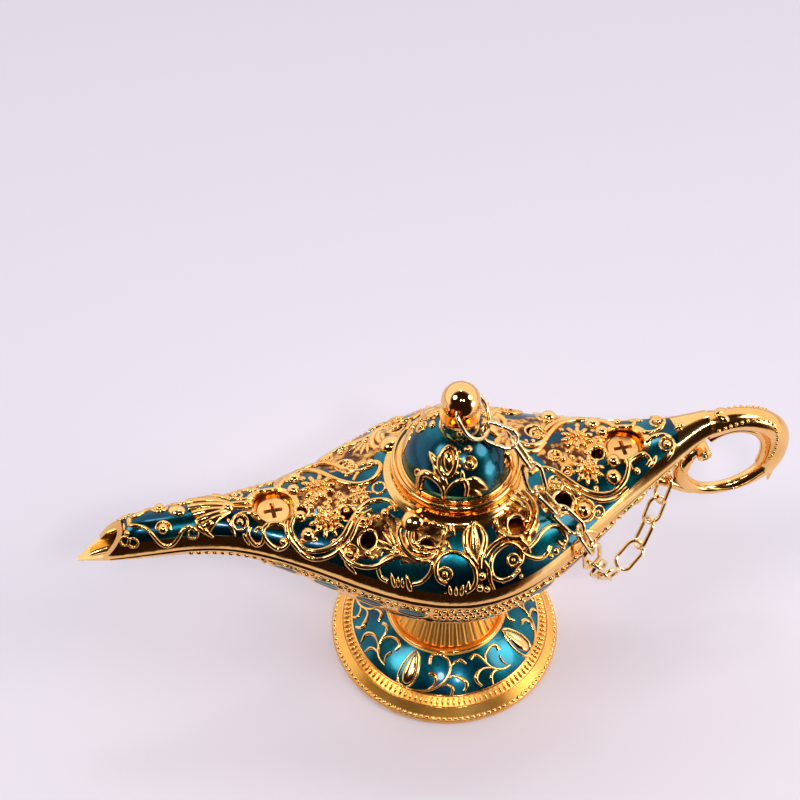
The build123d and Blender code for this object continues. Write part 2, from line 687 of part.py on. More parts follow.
ring_far = ring_centre + ring_way * ring_mean_radius
route = [Vector(a * tail_reach, b * hull_half_width, c * rim_height) for a, b, c in chain_route_shares]
hold = strut_path @ chain_hold_share
route = [ring_far] + route + [hold, hold + (hold - route[-1]).normalized() * link_length]
joint_at = [ring_far - (route[1] - ring_far).normalized() * joint_half]
leg, gone, here = 0, 0.0, joint_at[0]
for n in range(link_count):
    reach = link_pitch
    if n == open_link:
        reach = link_pitch + 2 * joint_half + link_wire_radius * 2 + open_link_gap
    while (route[leg + 1] - here).length < reach and leg + 2 < len(route):
        leg, gone = leg + 1, 0.0
    a, b = route[leg], route[leg + 1]
    low, high = gone, 1.0
    for _ in range(50):
        middle = (low + high) / 2
        if ((a + (b - a) * middle) - here).length < reach:
            low = middle
        else:
            high = middle
    gone = high
    here = a + (b - a) * high
    joint_at.append(here)
links = []
for n in range(link_count):
    a, b = joint_at[n], joint_at[n + 1]
    way = (b - a).normalized()
    start = a - way * joint_half
    if n == open_link:
        start = a + way * (joint_half + link_wire_radius * 2 + open_link_gap)
    end = start + way * link_reach
    links.append(chain_link(start, end, link_roll_angle + link_turn_angle * n))
print("strut", [round(v, 3) for v in hold], "ring", [round(v, 3) for v in ring_far])
print("last link ends", round((end - hold).dot((end - joint_at[-2]).normalized()), 2), "past the strut's middle")
for n, place in enumerate(joint_at):
    bend = 0.0
    if 0 < n < link_count:
        bend = (place - joint_at[n - 1]).get_angle(joint_at[n + 1] - place)
    print("joint", n, [round(v, 2) for v in place], "bend", round(bend))

named = {
    "foot": foot, "foot_enamel": foot_enamel, "foot_washer": foot_washer, "foot_screw": foot_screw,
    "lower_shell": lower_shell, "upper_shell": upper_shell, "enamel_front": enamel_front,
    "enamel_rear": enamel_rear, "front_screw": front_screw, "rear_screw": rear_screw, "lid": lid,
    "lid_enamel": lid_enamel, "lid_neck": lid_neck, "neck_enamel": neck_enamel,
    "finial_ball": finial_ball, "finial_ring": finial_ring, "handle": handle,
}
for name, piece in named.items():
    piece.part.label = name
    export_step(piece.part, f"parts/{name}.step")
for n, piece in enumerate(links):
    piece.label = f"chain_link_{n + 1:02d}"
    export_step(piece, f"parts/{piece.label}.step")
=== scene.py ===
"""Dresses the oil lamp: cast gold, teal enamel, wirework, beads and flowers, on a pale studio floor."""

from __future__ import annotations

import json
import logging
import math
from dataclasses import dataclass
from enum import Enum
from functools import lru_cache
from typing import Sequence, Union

import bmesh
import bpy
from mathutils import Matrix, Vector
from mathutils.bvhtree import BVHTree

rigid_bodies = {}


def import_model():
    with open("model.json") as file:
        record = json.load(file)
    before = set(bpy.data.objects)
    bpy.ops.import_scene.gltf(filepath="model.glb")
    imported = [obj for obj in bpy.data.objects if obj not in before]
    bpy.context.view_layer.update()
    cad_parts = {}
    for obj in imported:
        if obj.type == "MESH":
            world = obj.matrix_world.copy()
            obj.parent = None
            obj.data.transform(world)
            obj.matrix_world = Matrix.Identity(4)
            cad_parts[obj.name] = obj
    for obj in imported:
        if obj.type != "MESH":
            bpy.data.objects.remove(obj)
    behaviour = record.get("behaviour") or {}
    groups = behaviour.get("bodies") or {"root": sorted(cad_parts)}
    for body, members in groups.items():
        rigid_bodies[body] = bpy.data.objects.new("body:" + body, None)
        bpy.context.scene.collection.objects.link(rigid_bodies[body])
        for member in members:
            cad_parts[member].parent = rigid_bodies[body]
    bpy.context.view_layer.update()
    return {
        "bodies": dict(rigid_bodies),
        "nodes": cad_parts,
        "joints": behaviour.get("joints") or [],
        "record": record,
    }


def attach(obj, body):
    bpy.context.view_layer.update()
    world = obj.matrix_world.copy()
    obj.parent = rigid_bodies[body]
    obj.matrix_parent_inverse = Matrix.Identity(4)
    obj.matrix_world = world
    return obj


LOG = logging.getLogger("oil_lamp")
MM = 0.001
TINY = 1e-6
MEAN_NOISE = 0.5
GROOVE_HALF = 0.22
NARROWING = 0.62
LOWERING = 0.3
SKYWARD = Vector((0.0, 0.0, 1.0))
LENGTHWAYS = Vector((1.0, 0.0, 0.0))
SIDEWAYS = Vector((0.0, 1.0, 0.0))
Pair = tuple[float, float]
Triple = tuple[float, float, float]
Quad = tuple[float, float, float, float]
Pixel = Pair
Colour = Triple


# shader sockets and node benches


class Strand:
    """One output socket of a node tree, with arithmetic that adds the Math nodes it needs."""

    def __init__(self, bench: "Bench", socket: bpy.types.NodeSocket) -> None:
        """Keeps the socket and the bench that its node stands on."""
        self.bench = bench
        self.socket = socket

    def __add__(self, other: "Level") -> "Strand":
        """This value plus another."""
        return self.bench.math("ADD", self, other)

    def __radd__(self, other: "Level") -> "Strand":
        """Another value plus this one."""
        return self.bench.math("ADD", other, self)

    def __sub__(self, other: "Level") -> "Strand":
        """This value less another."""
        return self.bench.math("SUBTRACT", self, other)

    def __rsub__(self, other: "Level") -> "Strand":
        """Another value less this one."""
        return self.bench.math("SUBTRACT", other, self)

    def __mul__(self, other: "Level") -> "Strand":
        """This value times another."""
        return self.bench.math("MULTIPLY", self, other)

    def __rmul__(self, other: "Level") -> "Strand":
        """Another value times this one."""
        return self.bench.math("MULTIPLY", other, self)


Level = Union[Strand, float]


class Bench:
    """The node tree of a material or of the sky, and the one method that adds a node to it."""

    def __init__(self, tree: bpy.types.NodeTree) -> None:
        """Clears the tree, so that only the nodes added here are in it."""
        self.tree = tree
        tree.nodes.clear()

    def node(self, kind: str, settings: dict | None = None, inputs: dict | None = None,
             out: int | str = 0) -> Strand:
        """Adds a node.

        Args:
            kind: the node's type.
            settings: its properties, which are set first; "stops" holds a ramp's places and colours.
            inputs: values or strands by socket name or number.
            out: the output that is wanted.

        Returns:
            The strand of that output.
        """
        made = self.tree.nodes.new(kind)
        for key, value in (settings or {}).items():
            if key == "stops":
                ramp = made.color_ramp
                while len(ramp.elements) < len(value):
                    ramp.elements.new(0.5)
                for element, (place, colour) in zip(ramp.elements, value):
                    element.position = place
                    element.color = (*colour, 1.0)
            else:
                setattr(made, key, value)
        for key, value in (inputs or {}).items():
            if isinstance(value, Strand):
                self.tree.links.new(value.socket, made.inputs[key])
            else:
                made.inputs[key].default_value = value
        return Strand(self, made.outputs[out] if len(made.outputs) else None)

    def math(self, operation: str, first: Level, second: Level) -> Strand:
        """Adds one Math node and returns its result."""
        return self.node("ShaderNodeMath", {"operation": operation}, {0: first, 1: second})

    def vector(self, operation: str, first: Strand, second: Sequence[float] = (),
               out: int | str = 0) -> Strand:
        """Adds one Vector Math node and returns its result."""
        inputs = {0: first, 1: second} if second else {0: first}
        return self.node("ShaderNodeVectorMath", {"operation": operation}, inputs, out)

    def blend(self, share: Level, first: Strand | Colour, second: Strand | Colour) -> Strand:
        """Mixes two colours by a share and returns the colour."""
        ends = [(*c, 1.0) if isinstance(c, tuple) else c for c in (first, second)]
        return self.node("ShaderNodeMix", {"data_type": "RGBA"}, {0: share, 6: ends[0], 7: ends[1]}, out=2)

    def ramp(self, level: Level, *stops: tuple[float, Colour]) -> Strand:
        """The colour that a ramp has at a level."""
        return self.node("ShaderNodeValToRGB", {"stops": stops}, {"Fac": level}, out="Color")

    def noise(self, place: Strand, scale: float, detail: float = 2.0) -> Strand:
        """A cloudy value between 0 and 1; scale is in clouds per metre."""
        return self.node("ShaderNodeTexNoise", None, {"Vector": place, "Scale": scale, "Detail": detail})

    def bump(self, height: Strand, distance: float, **others: Level) -> Strand:
        """A normal that rises and dips with a height, by a distance in millimetres."""
        return self.node("ShaderNodeBump", None, {
            "Strength": 1.0, "Distance": distance * MM, "Height": height, **others})

    def surface(self, inputs: dict) -> None:
        """Ends a material with its shader and its output."""
        shader = self.node("ShaderNodeBsdfPrincipled", None, inputs)
        self.node("ShaderNodeOutputMaterial", None, {"Surface": shader})


def new_material(name: str) -> tuple[bpy.types.Material, Bench, Strand]:
    """An empty node material, its bench and the object's own coordinates on it.

    Args:
        name: its name.

    Returns:
        The material, its bench and the coordinates' strand.
    """
    material = bpy.data.materials.new(name)
    material.use_nodes = True
    bench = Bench(material.node_tree)
    return material, bench, bench.node("ShaderNodeTexCoord", out="Object")


@dataclass(frozen=True)
class MetalFinish:
    """Cast or plated metal: cloudy tone, faint ripples in the polish and a grain of fine wear."""

    name: str
    bright: Colour
    deep: Colour
    roughness: float
    ripple: float
    grain: float
    cloud_scale: float = 150.0
    ripple_scale: float = 420.0
    grain_scale: float = 5200.0
    tone_ends: Pair = (0.3, 0.72)
    cloud_wear: float = 0.10
    grain_wear: float = 0.06

    def make(self) -> bpy.types.Material:
        """Builds the material.

        Returns:
            The material.
        """
        material, bench, place = new_material(self.name)
        cloud = bench.noise(place, self.cloud_scale, 4.0)
        ripple = bench.noise(place, self.ripple_scale, 1.0)
        grain = bench.noise(place, self.grain_scale)
        wear = (cloud - MEAN_NOISE) * self.cloud_wear + (grain - MEAN_NOISE) * self.grain_wear
        bench.surface({
            "Base Color": bench.ramp(cloud, *zip(self.tone_ends, (self.deep, self.bright))),
            "Metallic": 1.0, "Roughness": self.roughness + wear,
            "Normal": bench.bump(grain, self.grain, Normal=bench.bump(ripple, self.ripple))})
        return material


@dataclass(frozen=True)
class EnamelFinish:
    """Translucent enamel over metal: deep where it is thick, turquoise where it is thin, under a clear glaze.

    Its webs are ovals by their middles and half sizes, in millimetres, where gold shows in place of enamel;
    their low spots are painted near black as shade.
    """

    name: str
    webs: tuple[Quad, ...] = ()
    thick: Colour = (0.0, 0.025, 0.055)
    middle: Colour = (0.0, 0.075, 0.11)
    thin: Colour = (0.0, 0.21, 0.26)
    tone_stops: Triple = (0.30, 0.52, 0.74)
    roughness: float = 0.22
    metallic: float = 0.9
    glaze: float = 0.28
    glaze_roughness: float = 0.05
    pool_scale: float = 110.0
    fleck_scale: float = 1500.0
    fleck_depth: float = 0.12
    fleck_wear: float = 0.10
    wave_scale: float = 260.0
    wave_height: float = 0.05
    web_bright: Colour = (0.88, 0.42, 0.10)
    # painted shade: the near-black tone of the webs' low spots
    web_painted_shade: Colour = (0.10, 0.025, 0.008)
    web_stops: Pair = (0.47, 0.60)
    web_scale: float = 520.0
    web_relief: float = 7.0
    web_edge: float = 0.94
    edge_scale: float = 330.0
    edge_wander: float = 0.9
    far: float = 9.0

    def _web(self, bench: Bench, place: Strand) -> Strand:
        """How far a place lies in the pierced webs, where the gold shows bare: 0 outside them, 1 in them.

        Args:
            bench: the material's bench.
            place: the object's own coordinates.

        Returns:
            The strand of the share.
        """
        split = bench.node("ShaderNodeSeparateXYZ", None, {"Vector": place})
        wrong = {way: bench.math("LESS_THAN", split * way, 0.0) * self.far for way in (-1.0, 1.0)}
        level = bench.vector("ABSOLUTE", bench.vector("MULTIPLY", place, (1.0, 1.0, 0.0)))
        away: Level = self.far
        for x, y, half_x, half_y in self.webs:
            side = bench.vector("MULTIPLY", level, (1.0 / (half_x * MM), 1.0 / (half_y * MM), 0.0))
            gap = bench.vector("DISTANCE", side, (abs(x) / half_x, y / half_y, 0.0), out="Value")
            away = bench.math("MINIMUM", away, gap + wrong[math.copysign(1.0, x)])
        edge = away + (bench.noise(place, self.edge_scale, 1.0) - MEAN_NOISE) * self.edge_wander
        return bench.node("ShaderNodeMapRange", None, {
            "Value": edge, "From Min": self.web_edge, "From Max": 1.0, "To Min": 1.0, "To Max": 0.0})

    def make(self) -> bpy.types.Material:
        """Builds the material.

        Returns:
            The material.
        """
        material, bench, place = new_material(self.name)
        fleck = bench.noise(place, self.fleck_scale, 3.0) - MEAN_NOISE
        wave = bench.noise(place, self.wave_scale, 1.0)
        depth = bench.noise(place, self.pool_scale) + fleck * self.fleck_depth
        tone = bench.ramp(depth, *zip(self.tone_stops, (self.thick, self.middle, self.thin)))
        glaze: Level = self.glaze
        if self.webs:
            share = self._web(bench, place)
            # the webs are gold with painted shade: the noise paints their low spots near black and sinks them
            # by the bump
            shade = bench.noise(place, self.web_scale)
            gold_and_shade = bench.ramp(shade, *zip(self.web_stops, (self.web_painted_shade, self.web_bright)))
            tone = bench.blend(share, tone, gold_and_shade)
            wave = wave + share * (shade - MEAN_NOISE) * self.web_relief
            glaze = self.glaze - self.glaze * share
        bench.surface({
            "Base Color": tone, "Metallic": self.metallic,
            "Roughness": self.roughness + fleck * self.fleck_wear,
            "Normal": bench.bump(wave, self.wave_height),
            "Coat Weight": glaze, "Coat Roughness": self.glaze_roughness})
        return material


@dataclass(frozen=True)
class FloorFinish:
    """A matt pale sheet with a faint warm and cool drift."""

    name: str
    cool: Colour
    warm: Colour
    roughness: float = 0.75
    drift_scale: float = 3.0
    tooth_scale: float = 900.0
    tooth_height: float = 0.02
    tooth_strength: float = 0.2
    tooth_wear: float = 0.1

    def make(self) -> bpy.types.Material:
        """Builds the material.

        Returns:
            The material.
        """
        material, bench, place = new_material(self.name)
        drift = bench.noise(place, self.drift_scale, 1.0)
        tooth = bench.noise(place, self.tooth_scale)
        bench.surface({
            "Base Color": bench.blend(drift, self.cool, self.warm),
            "Roughness": self.roughness + self.tooth_wear * tooth,
            "Normal": bench.bump(tooth, self.tooth_height, Strength=self.tooth_strength)})
        return material


class Finish(Enum):
    """The lamp's finishes."""

    CAST_GOLD = MetalFinish("cast_gold", (1.0, 0.63, 0.24), (0.90, 0.46, 0.12), 0.12, 0.020, 0.0025)
    MIRROR_GOLD = MetalFinish("mirror_gold", (1.0, 0.62, 0.25), (0.93, 0.50, 0.16), 0.06, 0.006, 0.0008)
    PALE_GOLD = MetalFinish("pale_gold", (0.98, 0.76, 0.42), (0.88, 0.62, 0.30), 0.12, 0.010, 0.0020)
    SATIN_GOLD = MetalFinish("satin_gold", (1.0, 0.53, 0.12), (0.90, 0.40, 0.06), 0.30, 0.010, 0.0030)
    # painted shade: a near-black finish for the bosses that stand in for the shade in the screw heads'
    # crosses
    PAINTED_SHADE = MetalFinish("painted_screw_shade", (0.16, 0.05, 0.015), (0.08, 0.02, 0.008), 0.5, 0.004, 0.0060)
    SCREW_GOLD = MetalFinish("screw_gold", (0.98, 0.56, 0.20), (0.86, 0.42, 0.12), 0.30, 0.004, 0.0060)
    TEAL_ENAMEL = EnamelFinish("teal_enamel")
    HULL_ENAMEL = EnamelFinish("hull_enamel", (
        (-19.0, 9.6, 6.2, 4.0), (-10.0, 13.6, 5.4, 3.6), (-23.6, 0.0, 4.6, 4.0), (-29.6, 0.0, 2.6, 3.4),
        (8.4, 13.8, 4.6, 3.8), (18.6, 9.2, 6.0, 3.4), (21.0, 0.0, 4.8, 3.6), (28.0, 0.0, 2.8, 3.0)))
    STEEL = MetalFinish("washer_steel", (0.60, 0.60, 0.58), (0.42, 0.42, 0.42), 0.28, 0.004, 0.0080)


# the photograph's camera


@dataclass(frozen=True)
class PhotoView:
    """The camera that took the photograph, fitted to the rims, feet and lids of the lamps."""

    place: Triple = (-0.065432, -0.204347, 0.323687)
    forward: Triple = (0.1661, 0.6294, -0.7592)
    right: Triple = (0.9669, -0.2551, 0.0)
    roll: float = 0.034
    lens: float = 81.016
    sensor: float = 36.0
    side: float = 800.0
    nearest: float = 0.01

    def axes(self) -> tuple[Vector, Vector, Vector]:
        """Unit vectors to the picture's right, to its top and into it.

        Returns:
            The three vectors.
        """
        ahead = Vector(self.forward).normalized()
        right = Vector(self.right).normalized()
        up = right.cross(ahead)
        across = right * math.cos(self.roll) + up * math.sin(self.roll)
        upward = up * math.cos(self.roll) - right * math.sin(self.roll)
        return across, upward, ahead

    def ray(self, pixel: Pixel) -> tuple[Vector, Vector]:
        """The camera's place and the direction in which it sees a pixel.

        Args:
            pixel: across from the left and down from the top.

        Returns:
            The place and the direction.
        """
        across, upward, ahead = self.axes()
        focal = self.lens / self.sensor * self.side
        middle = self.side / 2
        aim = ahead * focal + across * (pixel[0] - middle) - upward * (pixel[1] - middle)
        return Vector(self.place), aim.normalized()

    def make(self) -> None:
        """Creates the camera and makes it the scene's."""
        across, upward, ahead = self.axes()
        data = bpy.data.cameras.new("photo_camera")
        data.lens = self.lens
        data.sensor_width = self.sensor
        data.sensor_fit = "HORIZONTAL"
        data.clip_start = self.nearest
        camera = bpy.data.objects.new("photo_camera", data)
        turn = Matrix((across, upward, -ahead)).transposed().to_4x4()
        camera.matrix_world = Matrix.Translation(self.place) @ turn
        bpy.context.scene.collection.objects.link(camera)
        bpy.context.scene.camera = camera


# seats on the castings


@dataclass(frozen=True)
class Seat:
    """A place on a casting's skin and the way out of it."""

    point: Vector
    normal: Vector

    def frame(self, along: Vector = LENGTHWAYS) -> Matrix:
        """Axes at the seat: Z outwards and X as near as can be to the given direction.

        Args:
            along: the direction that X is to follow.

        Returns:
            The axes as a matrix.
        """
        out = self.normal
        side = along - out * out.dot(along)
        if side.length < TINY:
            side = out.orthogonal()
        side.normalize()
        return Matrix.Translation(self.point) @ Matrix((side, out.cross(side), out)).transposed().to_4x4()

    def moved(self, step: Matrix) -> "Seat":
        """The same seat after a turn or a mirroring about the lamp's own axes."""
        return Seat(step @ self.point, (step.to_3x3() @ self.normal).normalized())


def turns(count: int, start: float = 0.0) -> list[Matrix]:
    """So many even turns about Z; the first is a share of one step past none."""
    return [Matrix.Rotation(2.0 * math.pi * (i + start) / count, 4, "Z") for i in range(count)]


def oval(half_x: float, half_y: float, parts: int) -> list[Vector]:
    """Places round a level oval, its half sizes in millimetres, with the first again at the end."""
    angles = (2.0 * math.pi * i / parts for i in range(parts + 1))
    return [Vector((half_x * math.cos(angle), half_y * math.sin(angle), 0.0)) * MM for angle in angles]


class Repeat(Enum):
    """How often ornament comes back: so many times round, or on both sides of the hull."""

    ONCE = 1
    SIDES = 2
    THIRDS = 3
    QUARTERS = 4

    def steps(self) -> list[Matrix]:
        """The turns or mirrorings that place the copies.

        Returns:
            One matrix for each copy.
        """
        if self is Repeat.SIDES:
            return [Matrix.Identity(4), Matrix.Scale(-1.0, 4, (0.0, 1.0, 0.0))]
        return turns(self.value)


def smooth_line(points: Sequence[Pixel], step: float, closed: bool = False) -> list[Pixel]:
    """A line through the points that bends evenly.

    Args:
        points: the places that it passes.
        step: about how far apart the returned places are.
        closed: whether the line returns to its start.

    Returns:
        Places along the line.
    """
    count = len(points)
    line: list[Pixel] = []
    for i in range(count if closed else count - 1):
        if closed:
            a, b, c, d = (points[(i + k) % count] for k in (-1, 0, 1, 2))
        else:
            b, c = points[i], points[i + 1]
            a = points[i - 1] if i else (2 * b[0] - c[0], 2 * b[1] - c[1])
            d = points[i + 2] if i + 2 < count else (2 * c[0] - b[0], 2 * c[1] - b[1])
        parts = max(1, round(math.dist(b, c) / step))
        for k in range(parts):
            t = k / parts
            line.append(tuple(
                0.5 * (2 * b[j] + (c[j] - a[j]) * t + (2 * a[j] - 5 * b[j] + 4 * c[j] - d[j]) * t ** 2
                       + (3 * b[j] - a[j] - 3 * c[j] + d[j]) * t ** 3) for j in (0, 1)))
    line.append(tuple(points[0] if closed else points[-1]))
    return line


class Skin:
    """The outer faces of some castings, on which ornament is seated."""

    SLOPE_REACH = 0.6
    SAME_SIDE = 0.5
    NEIGHBOURS = 7
    DROP = 2.2
    NEAR_SHARE = 4

    def __init__(self, nodes: dict[str, bpy.types.Object], names: Sequence[str]) -> None:
        """Gathers the castings' faces into one search tree.

        Args:
            nodes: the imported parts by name.
            names: the castings' names.
        """
        points: list[Vector] = []
        faces: list[tuple[int, ...]] = []
        for name in names:
            base = len(points)
            mesh = nodes[name].data
            points.extend(vertex.co.copy() for vertex in mesh.vertices)
            faces.extend(tuple(base + i for i in face.vertices) for face in mesh.polygons)
        self.tree = BVHTree.FromPolygons(points, faces)

    def seat(self, origin: Vector, direction: Vector, reach: float = SLOPE_REACH) -> Seat | None:
        """The first skin that a line meets.

        Args:
            origin: where the line starts, in metres.
            direction: where it goes.
            reach: how far round the place the skin's slope is averaged, in millimetres.

        Returns:
            The seat, or None where the line misses.
        """
        point, normal, _, _ = self.tree.ray_cast(origin, direction)
        if point is None:
            return None
        if normal.dot(direction) > 0:
            normal = -normal
        total = Vector(normal)
        if reach > 0.0:
            side = total.orthogonal().normalized() * reach * MM
            across = total.cross(side)
            for step in (side, across, -side, -across):
                _, near, _, _ = self.tree.find_nearest(point + step)
                if near is not None and abs(near.dot(normal)) > self.SAME_SIDE:
                    total += near if near.dot(normal) > 0 else -near
        return Seat(point, total.normalized())

    def follow(self, view: PhotoView, path: Sequence[Pixel], step: float, closed: bool = False) -> list[Seat]:
        """Seats along a line of the photograph, with any that fall through an opening left out.

        Args:
            view: the photograph's camera.
            path: the pixels that the line passes.
            step: the seats' distance, in pixels.
            closed: whether the line returns to its start.

        Returns:
            The seats in order.
        """
        found: list[tuple[float, Seat]] = []
        for pixel in smooth_line(path, step, closed):
            origin, aim = view.ray(pixel)
            seat = self.seat(origin, aim)
            if seat is not None:
                found.append(((seat.point - origin).length, seat))
        kept: list[Seat] = []
        for i, (depth, seat) in enumerate(found):
            near = sorted(d for d, _ in found[max(0, i - self.NEIGHBOURS):i + self.NEIGHBOURS + 1])
            if depth - near[len(near) // self.NEAR_SHARE] < self.DROP * MM:
                kept.append(seat)
        return kept


# ornament, placed by the photograph's pixels and seated on the skin


@dataclass(frozen=True)
class Line:
    """A raised wire; its shares thin or thicken it from one end to the other."""

    path: tuple[Pixel, ...]
    radius: float = 0.35
    shares: tuple[float, ...] = (1.0,)
    closed: bool = False


@dataclass(frozen=True)
class Bead:
    """A round or oval boss; its length runs towards the aim."""

    centre: Pixel
    radius: float
    length: float = 1.0
    aim: Pixel = (1.0, 0.0)
    height: float = 0.85


@dataclass(frozen=True)
class Leaf:
    """A pointed petal from its root to its tip, with or without a groove along its middle."""

    root: Pixel
    tip: Pixel
    width: float
    height: float = 0.5
    groove: float = 0.0


@dataclass(frozen=True)
class Daisy:
    """A flower of two rings of petals round a bead; a big one has leaves behind it."""

    centre: Pixel
    radius: float
    petals: int = 12


@dataclass(frozen=True)
class Eye:
    """A wire ring with a bead in it."""

    centre: Pixel
    radius: float
    wire: float = 0.3
    bead: float = 0.6


Ornament = Union[Line, Bead, Leaf, Daisy, Eye]
Table = tuple[Ornament, ...]


@dataclass(frozen=True)
class Studs:
    """A level ring of bosses round the lamp's axis, in millimetres.

    The lean is outwards, in degrees; the start is where the first is, as a share of the space between two.
    """

    count: int
    radius: float
    height: float
    size: Triple
    lean: float = 0.0
    start: float = 0.0


@lru_cache(maxsize=None)
def unit_form(around: int, up: int, groove: float | None = None) -> bpy.types.Mesh:
    """A form that the goldwork stamps: a ball of radius one, or a petal from -1 to 1 along X.

    Args:
        around: the number of faces round it.
        up: the number of faces from pole to pole.
        groove: the depth of a petal's middle line, as a share of its height; None for a ball.

    Returns:
        Its mesh.
    """
    form = bmesh.new()
    bmesh.ops.create_uvsphere(form, u_segments=around, v_segments=up, radius=1.0)
    if groove is not None:
        bmesh.ops.rotate(form, verts=form.verts[:], matrix=Matrix.Rotation(math.pi / 2, 3, "Y"))
        for vertex in form.verts:
            x, y, z = vertex.co
            along = (x + 1.0) / 2.0
            dip = groove * math.exp(-(y / GROOVE_HALF) ** 2) * (1.0 - x ** 2) if z > 0 else 0.0
            vertex.co = (x, y * (1.0 - NARROWING * along ** 2), z * (1.0 - LOWERING * along) - dip)
    mesh = bpy.data.meshes.new("unit_form")
    form.to_mesh(mesh)
    form.free()
    return mesh


class Goldwork:
    """Ornament of one sub-assembly, gathered into a mesh of wires and one of bosses."""

    LINE_STEP = 2.2
    AIM_STEP = 2.0
    SHORTEST = 0.12
    RING_PARTS = 18
    RING_SEARCH = 2.5
    RING_DROP = 1.2
    FINE_BEAD = 0.9
    FINE_LEAF = 1.6
    DISC = (0.70, 0.70, 0.12)
    PETAL_RINGS = ((0.70, 0.33, 0.05, 3), (0.30, 0.14, 0.14, 7))
    PETAL_WIDTH = 2.15
    PETAL_HEIGHT = 0.15
    PETAL_LEAN = 0.15
    PETAL_SHIFT = 0.3
    HEART = 0.17
    HEART_RISE = 0.16
    BIG_FLOWER = 2.0
    LEAF_COUNT = 7
    LEAF_SIZE = (0.42, 0.42, 0.14)
    LEAF_PLACE = (1.02, 0.0, -0.08)
    LEAF_SHIFT = 0.4
    LEAF_GROOVE = 0.25
    EYE_HEIGHT = 0.9
    KNOB_FACES = ((10, 6), (16, 9))
    PETAL_FACES = ((8, 6), (20, 12))

    def __init__(self, name: str, skin: Skin, view: PhotoView, weight: float = 1.0) -> None:
        """Starts the empty wires and bosses; the weight thickens every wire of the tables.

        Args:
            name: what the pieces' names start with.
            skin: the castings below it.
            view: the photograph's camera.
            weight: the wires' share of their tables' radius.
        """
        self.name = name
        self.weight = weight
        self.skin = skin
        self.view = view
        self.curve = bpy.data.curves.new(f"{name}_wire", "CURVE")
        self.curve.dimensions = "3D"
        self.curve.bevel_depth = MM
        self.curve.bevel_resolution = 2
        self.curve.use_fill_caps = True
        self.bosses = bmesh.new()

    def seat(self, pixel: Pixel) -> Seat | None:
        """The seat that the photograph shows at a pixel."""
        return self.skin.seat(*self.view.ray(pixel))

    def _even(self, seats: Sequence[Seat]) -> list[Seat]:
        """The seats without those that stand on another or that turn the line back on itself.

        Args:
            seats: the seats in order.

        Returns:
            Those that are kept.
        """
        run: list[Seat] = []
        for seat in seats:
            if run and (seat.point - run[-1].point).length < self.SHORTEST * MM:
                continue
            while len(run) > 1 and (seat.point - run[-1].point).dot(run[-1].point - run[-2].point) < 0.0:
                run.pop()
            run.append(seat)
        return run

    def strand(self, seats: Sequence[Seat], radius: float, shares: Sequence[float] = (1.0,),
               closed: bool = False, lift: float = 0.05) -> None:
        """Lays one wire along the seats.

        Args:
            seats: the places that it passes; a closed wire's last one stands on its first.
            radius: its radius, in millimetres.
            shares: how it thins or thickens from one end to the other.
            closed: whether it returns to its start.
            lift: how far its middle stands above the skin, as a share of its radius.
        """
        seats = self._even(seats[:-1] if closed else seats)
        if len(seats) < 2:
            return
        spline = self.curve.splines.new("POLY")
        spline.points.add(len(seats) - 1)
        spline.use_cyclic_u = closed
        last = len(shares) - 1
        for i, (point, seat) in enumerate(zip(spline.points, seats)):
            place = i / max(1, len(seats) - 1) * last
            low = min(int(place), max(0, last - 1))
            high = min(low + 1, last)
            size = radius * (shares[low] + (shares[high] - shares[low]) * (place - low))
            point.co = (*(seat.point + seat.normal * size * lift * MM), 1.0)
            point.radius = size

    def _stamp(self, form: bpy.types.Mesh, place: Matrix) -> None:
        """Adds a copy of a unit form at a place.

        Args:
            form: the unit form.
            place: its axes and size.
        """
        copy = form.copy()
        copy.transform(place)
        self.bosses.from_mesh(copy)
        bpy.data.meshes.remove(copy)

    def knob(self, frame: Matrix, size: Triple, fine: bool = False) -> None:
        """Adds a low dome of the given half sizes in millimetres, with more faces if it is to be fine."""
        scale = Matrix.Diagonal((*(s * MM for s in size), 1.0))
        self._stamp(unit_form(*self.KNOB_FACES[fine]), frame @ scale)

    def petal(self, frame: Matrix, size: Triple, groove: float = 0.0, fine: bool = False) -> None:
        """Adds a petal that starts at the frame's origin, runs along X and ends in a point.

        Args:
            frame: the axes at its root.
            size: its length, its widest width and how far it stands up, in millimetres.
            groove: the depth of its middle line, as a share of the height.
            fine: whether it gets more faces.
        """
        length, width, height = (s * MM for s in size)
        scale = Matrix.Diagonal((length / 2, width / 2, height, 1.0))
        place = frame @ Matrix.Translation((length / 2, 0.0, 0.0)) @ scale
        self._stamp(unit_form(*self.PETAL_FACES[fine], groove), place)

    def studs(self, row: Studs) -> None:
        """Adds a ring of bosses.

        Args:
            row: the ring's sizes.
        """
        lean = Matrix.Rotation(math.radians(row.lean), 4, "Y")
        spot = Matrix.Translation((row.radius * MM, 0.0, row.height * MM)) @ lean
        for turn in turns(row.count, row.start):
            self.knob(turn @ spot, row.size)

    def level_ring(self, radius: float, height: float, wire: float, parts: int) -> None:
        """Lays a level wire ring of so many parts round the lamp's axis."""
        seats = [Seat(spot + SKYWARD * height * MM, SKYWARD) for spot in oval(radius, radius, parts)]
        self.strand(seats, wire, closed=True)

    def _ring(self, seat: Seat, radius: float, wire: float) -> None:
        """Lays a wire ring round a seat, on the skin where that is near.

        Args:
            seat: its middle.
            radius: the ring's radius, in millimetres.
            wire: the wire's radius.
        """
        frame = seat.frame()
        out = frame.to_3x3() @ SKYWARD
        seats = []
        for spot in oval(radius, radius, self.RING_PARTS):
            flat = frame @ spot
            found = self.skin.seat(flat + out * self.RING_SEARCH * MM, -out)
            near = found is not None and (found.point - flat).length < self.RING_DROP * MM
            seats.append(Seat(found.point if near else flat, out))
        self.strand(seats, wire, closed=True)

    def work(self, items: Table, repeat: Repeat) -> None:
        """Makes each piece of ornament and its repeats.

        Args:
            items: the pieces of ornament.
            repeat: how often each comes back.
        """
        makers = {Line: self._line, Bead: self._bead, Leaf: self._leaf, Daisy: self._daisy, Eye: self._eye}
        for item in items:
            makers[type(item)](item, repeat.steps())

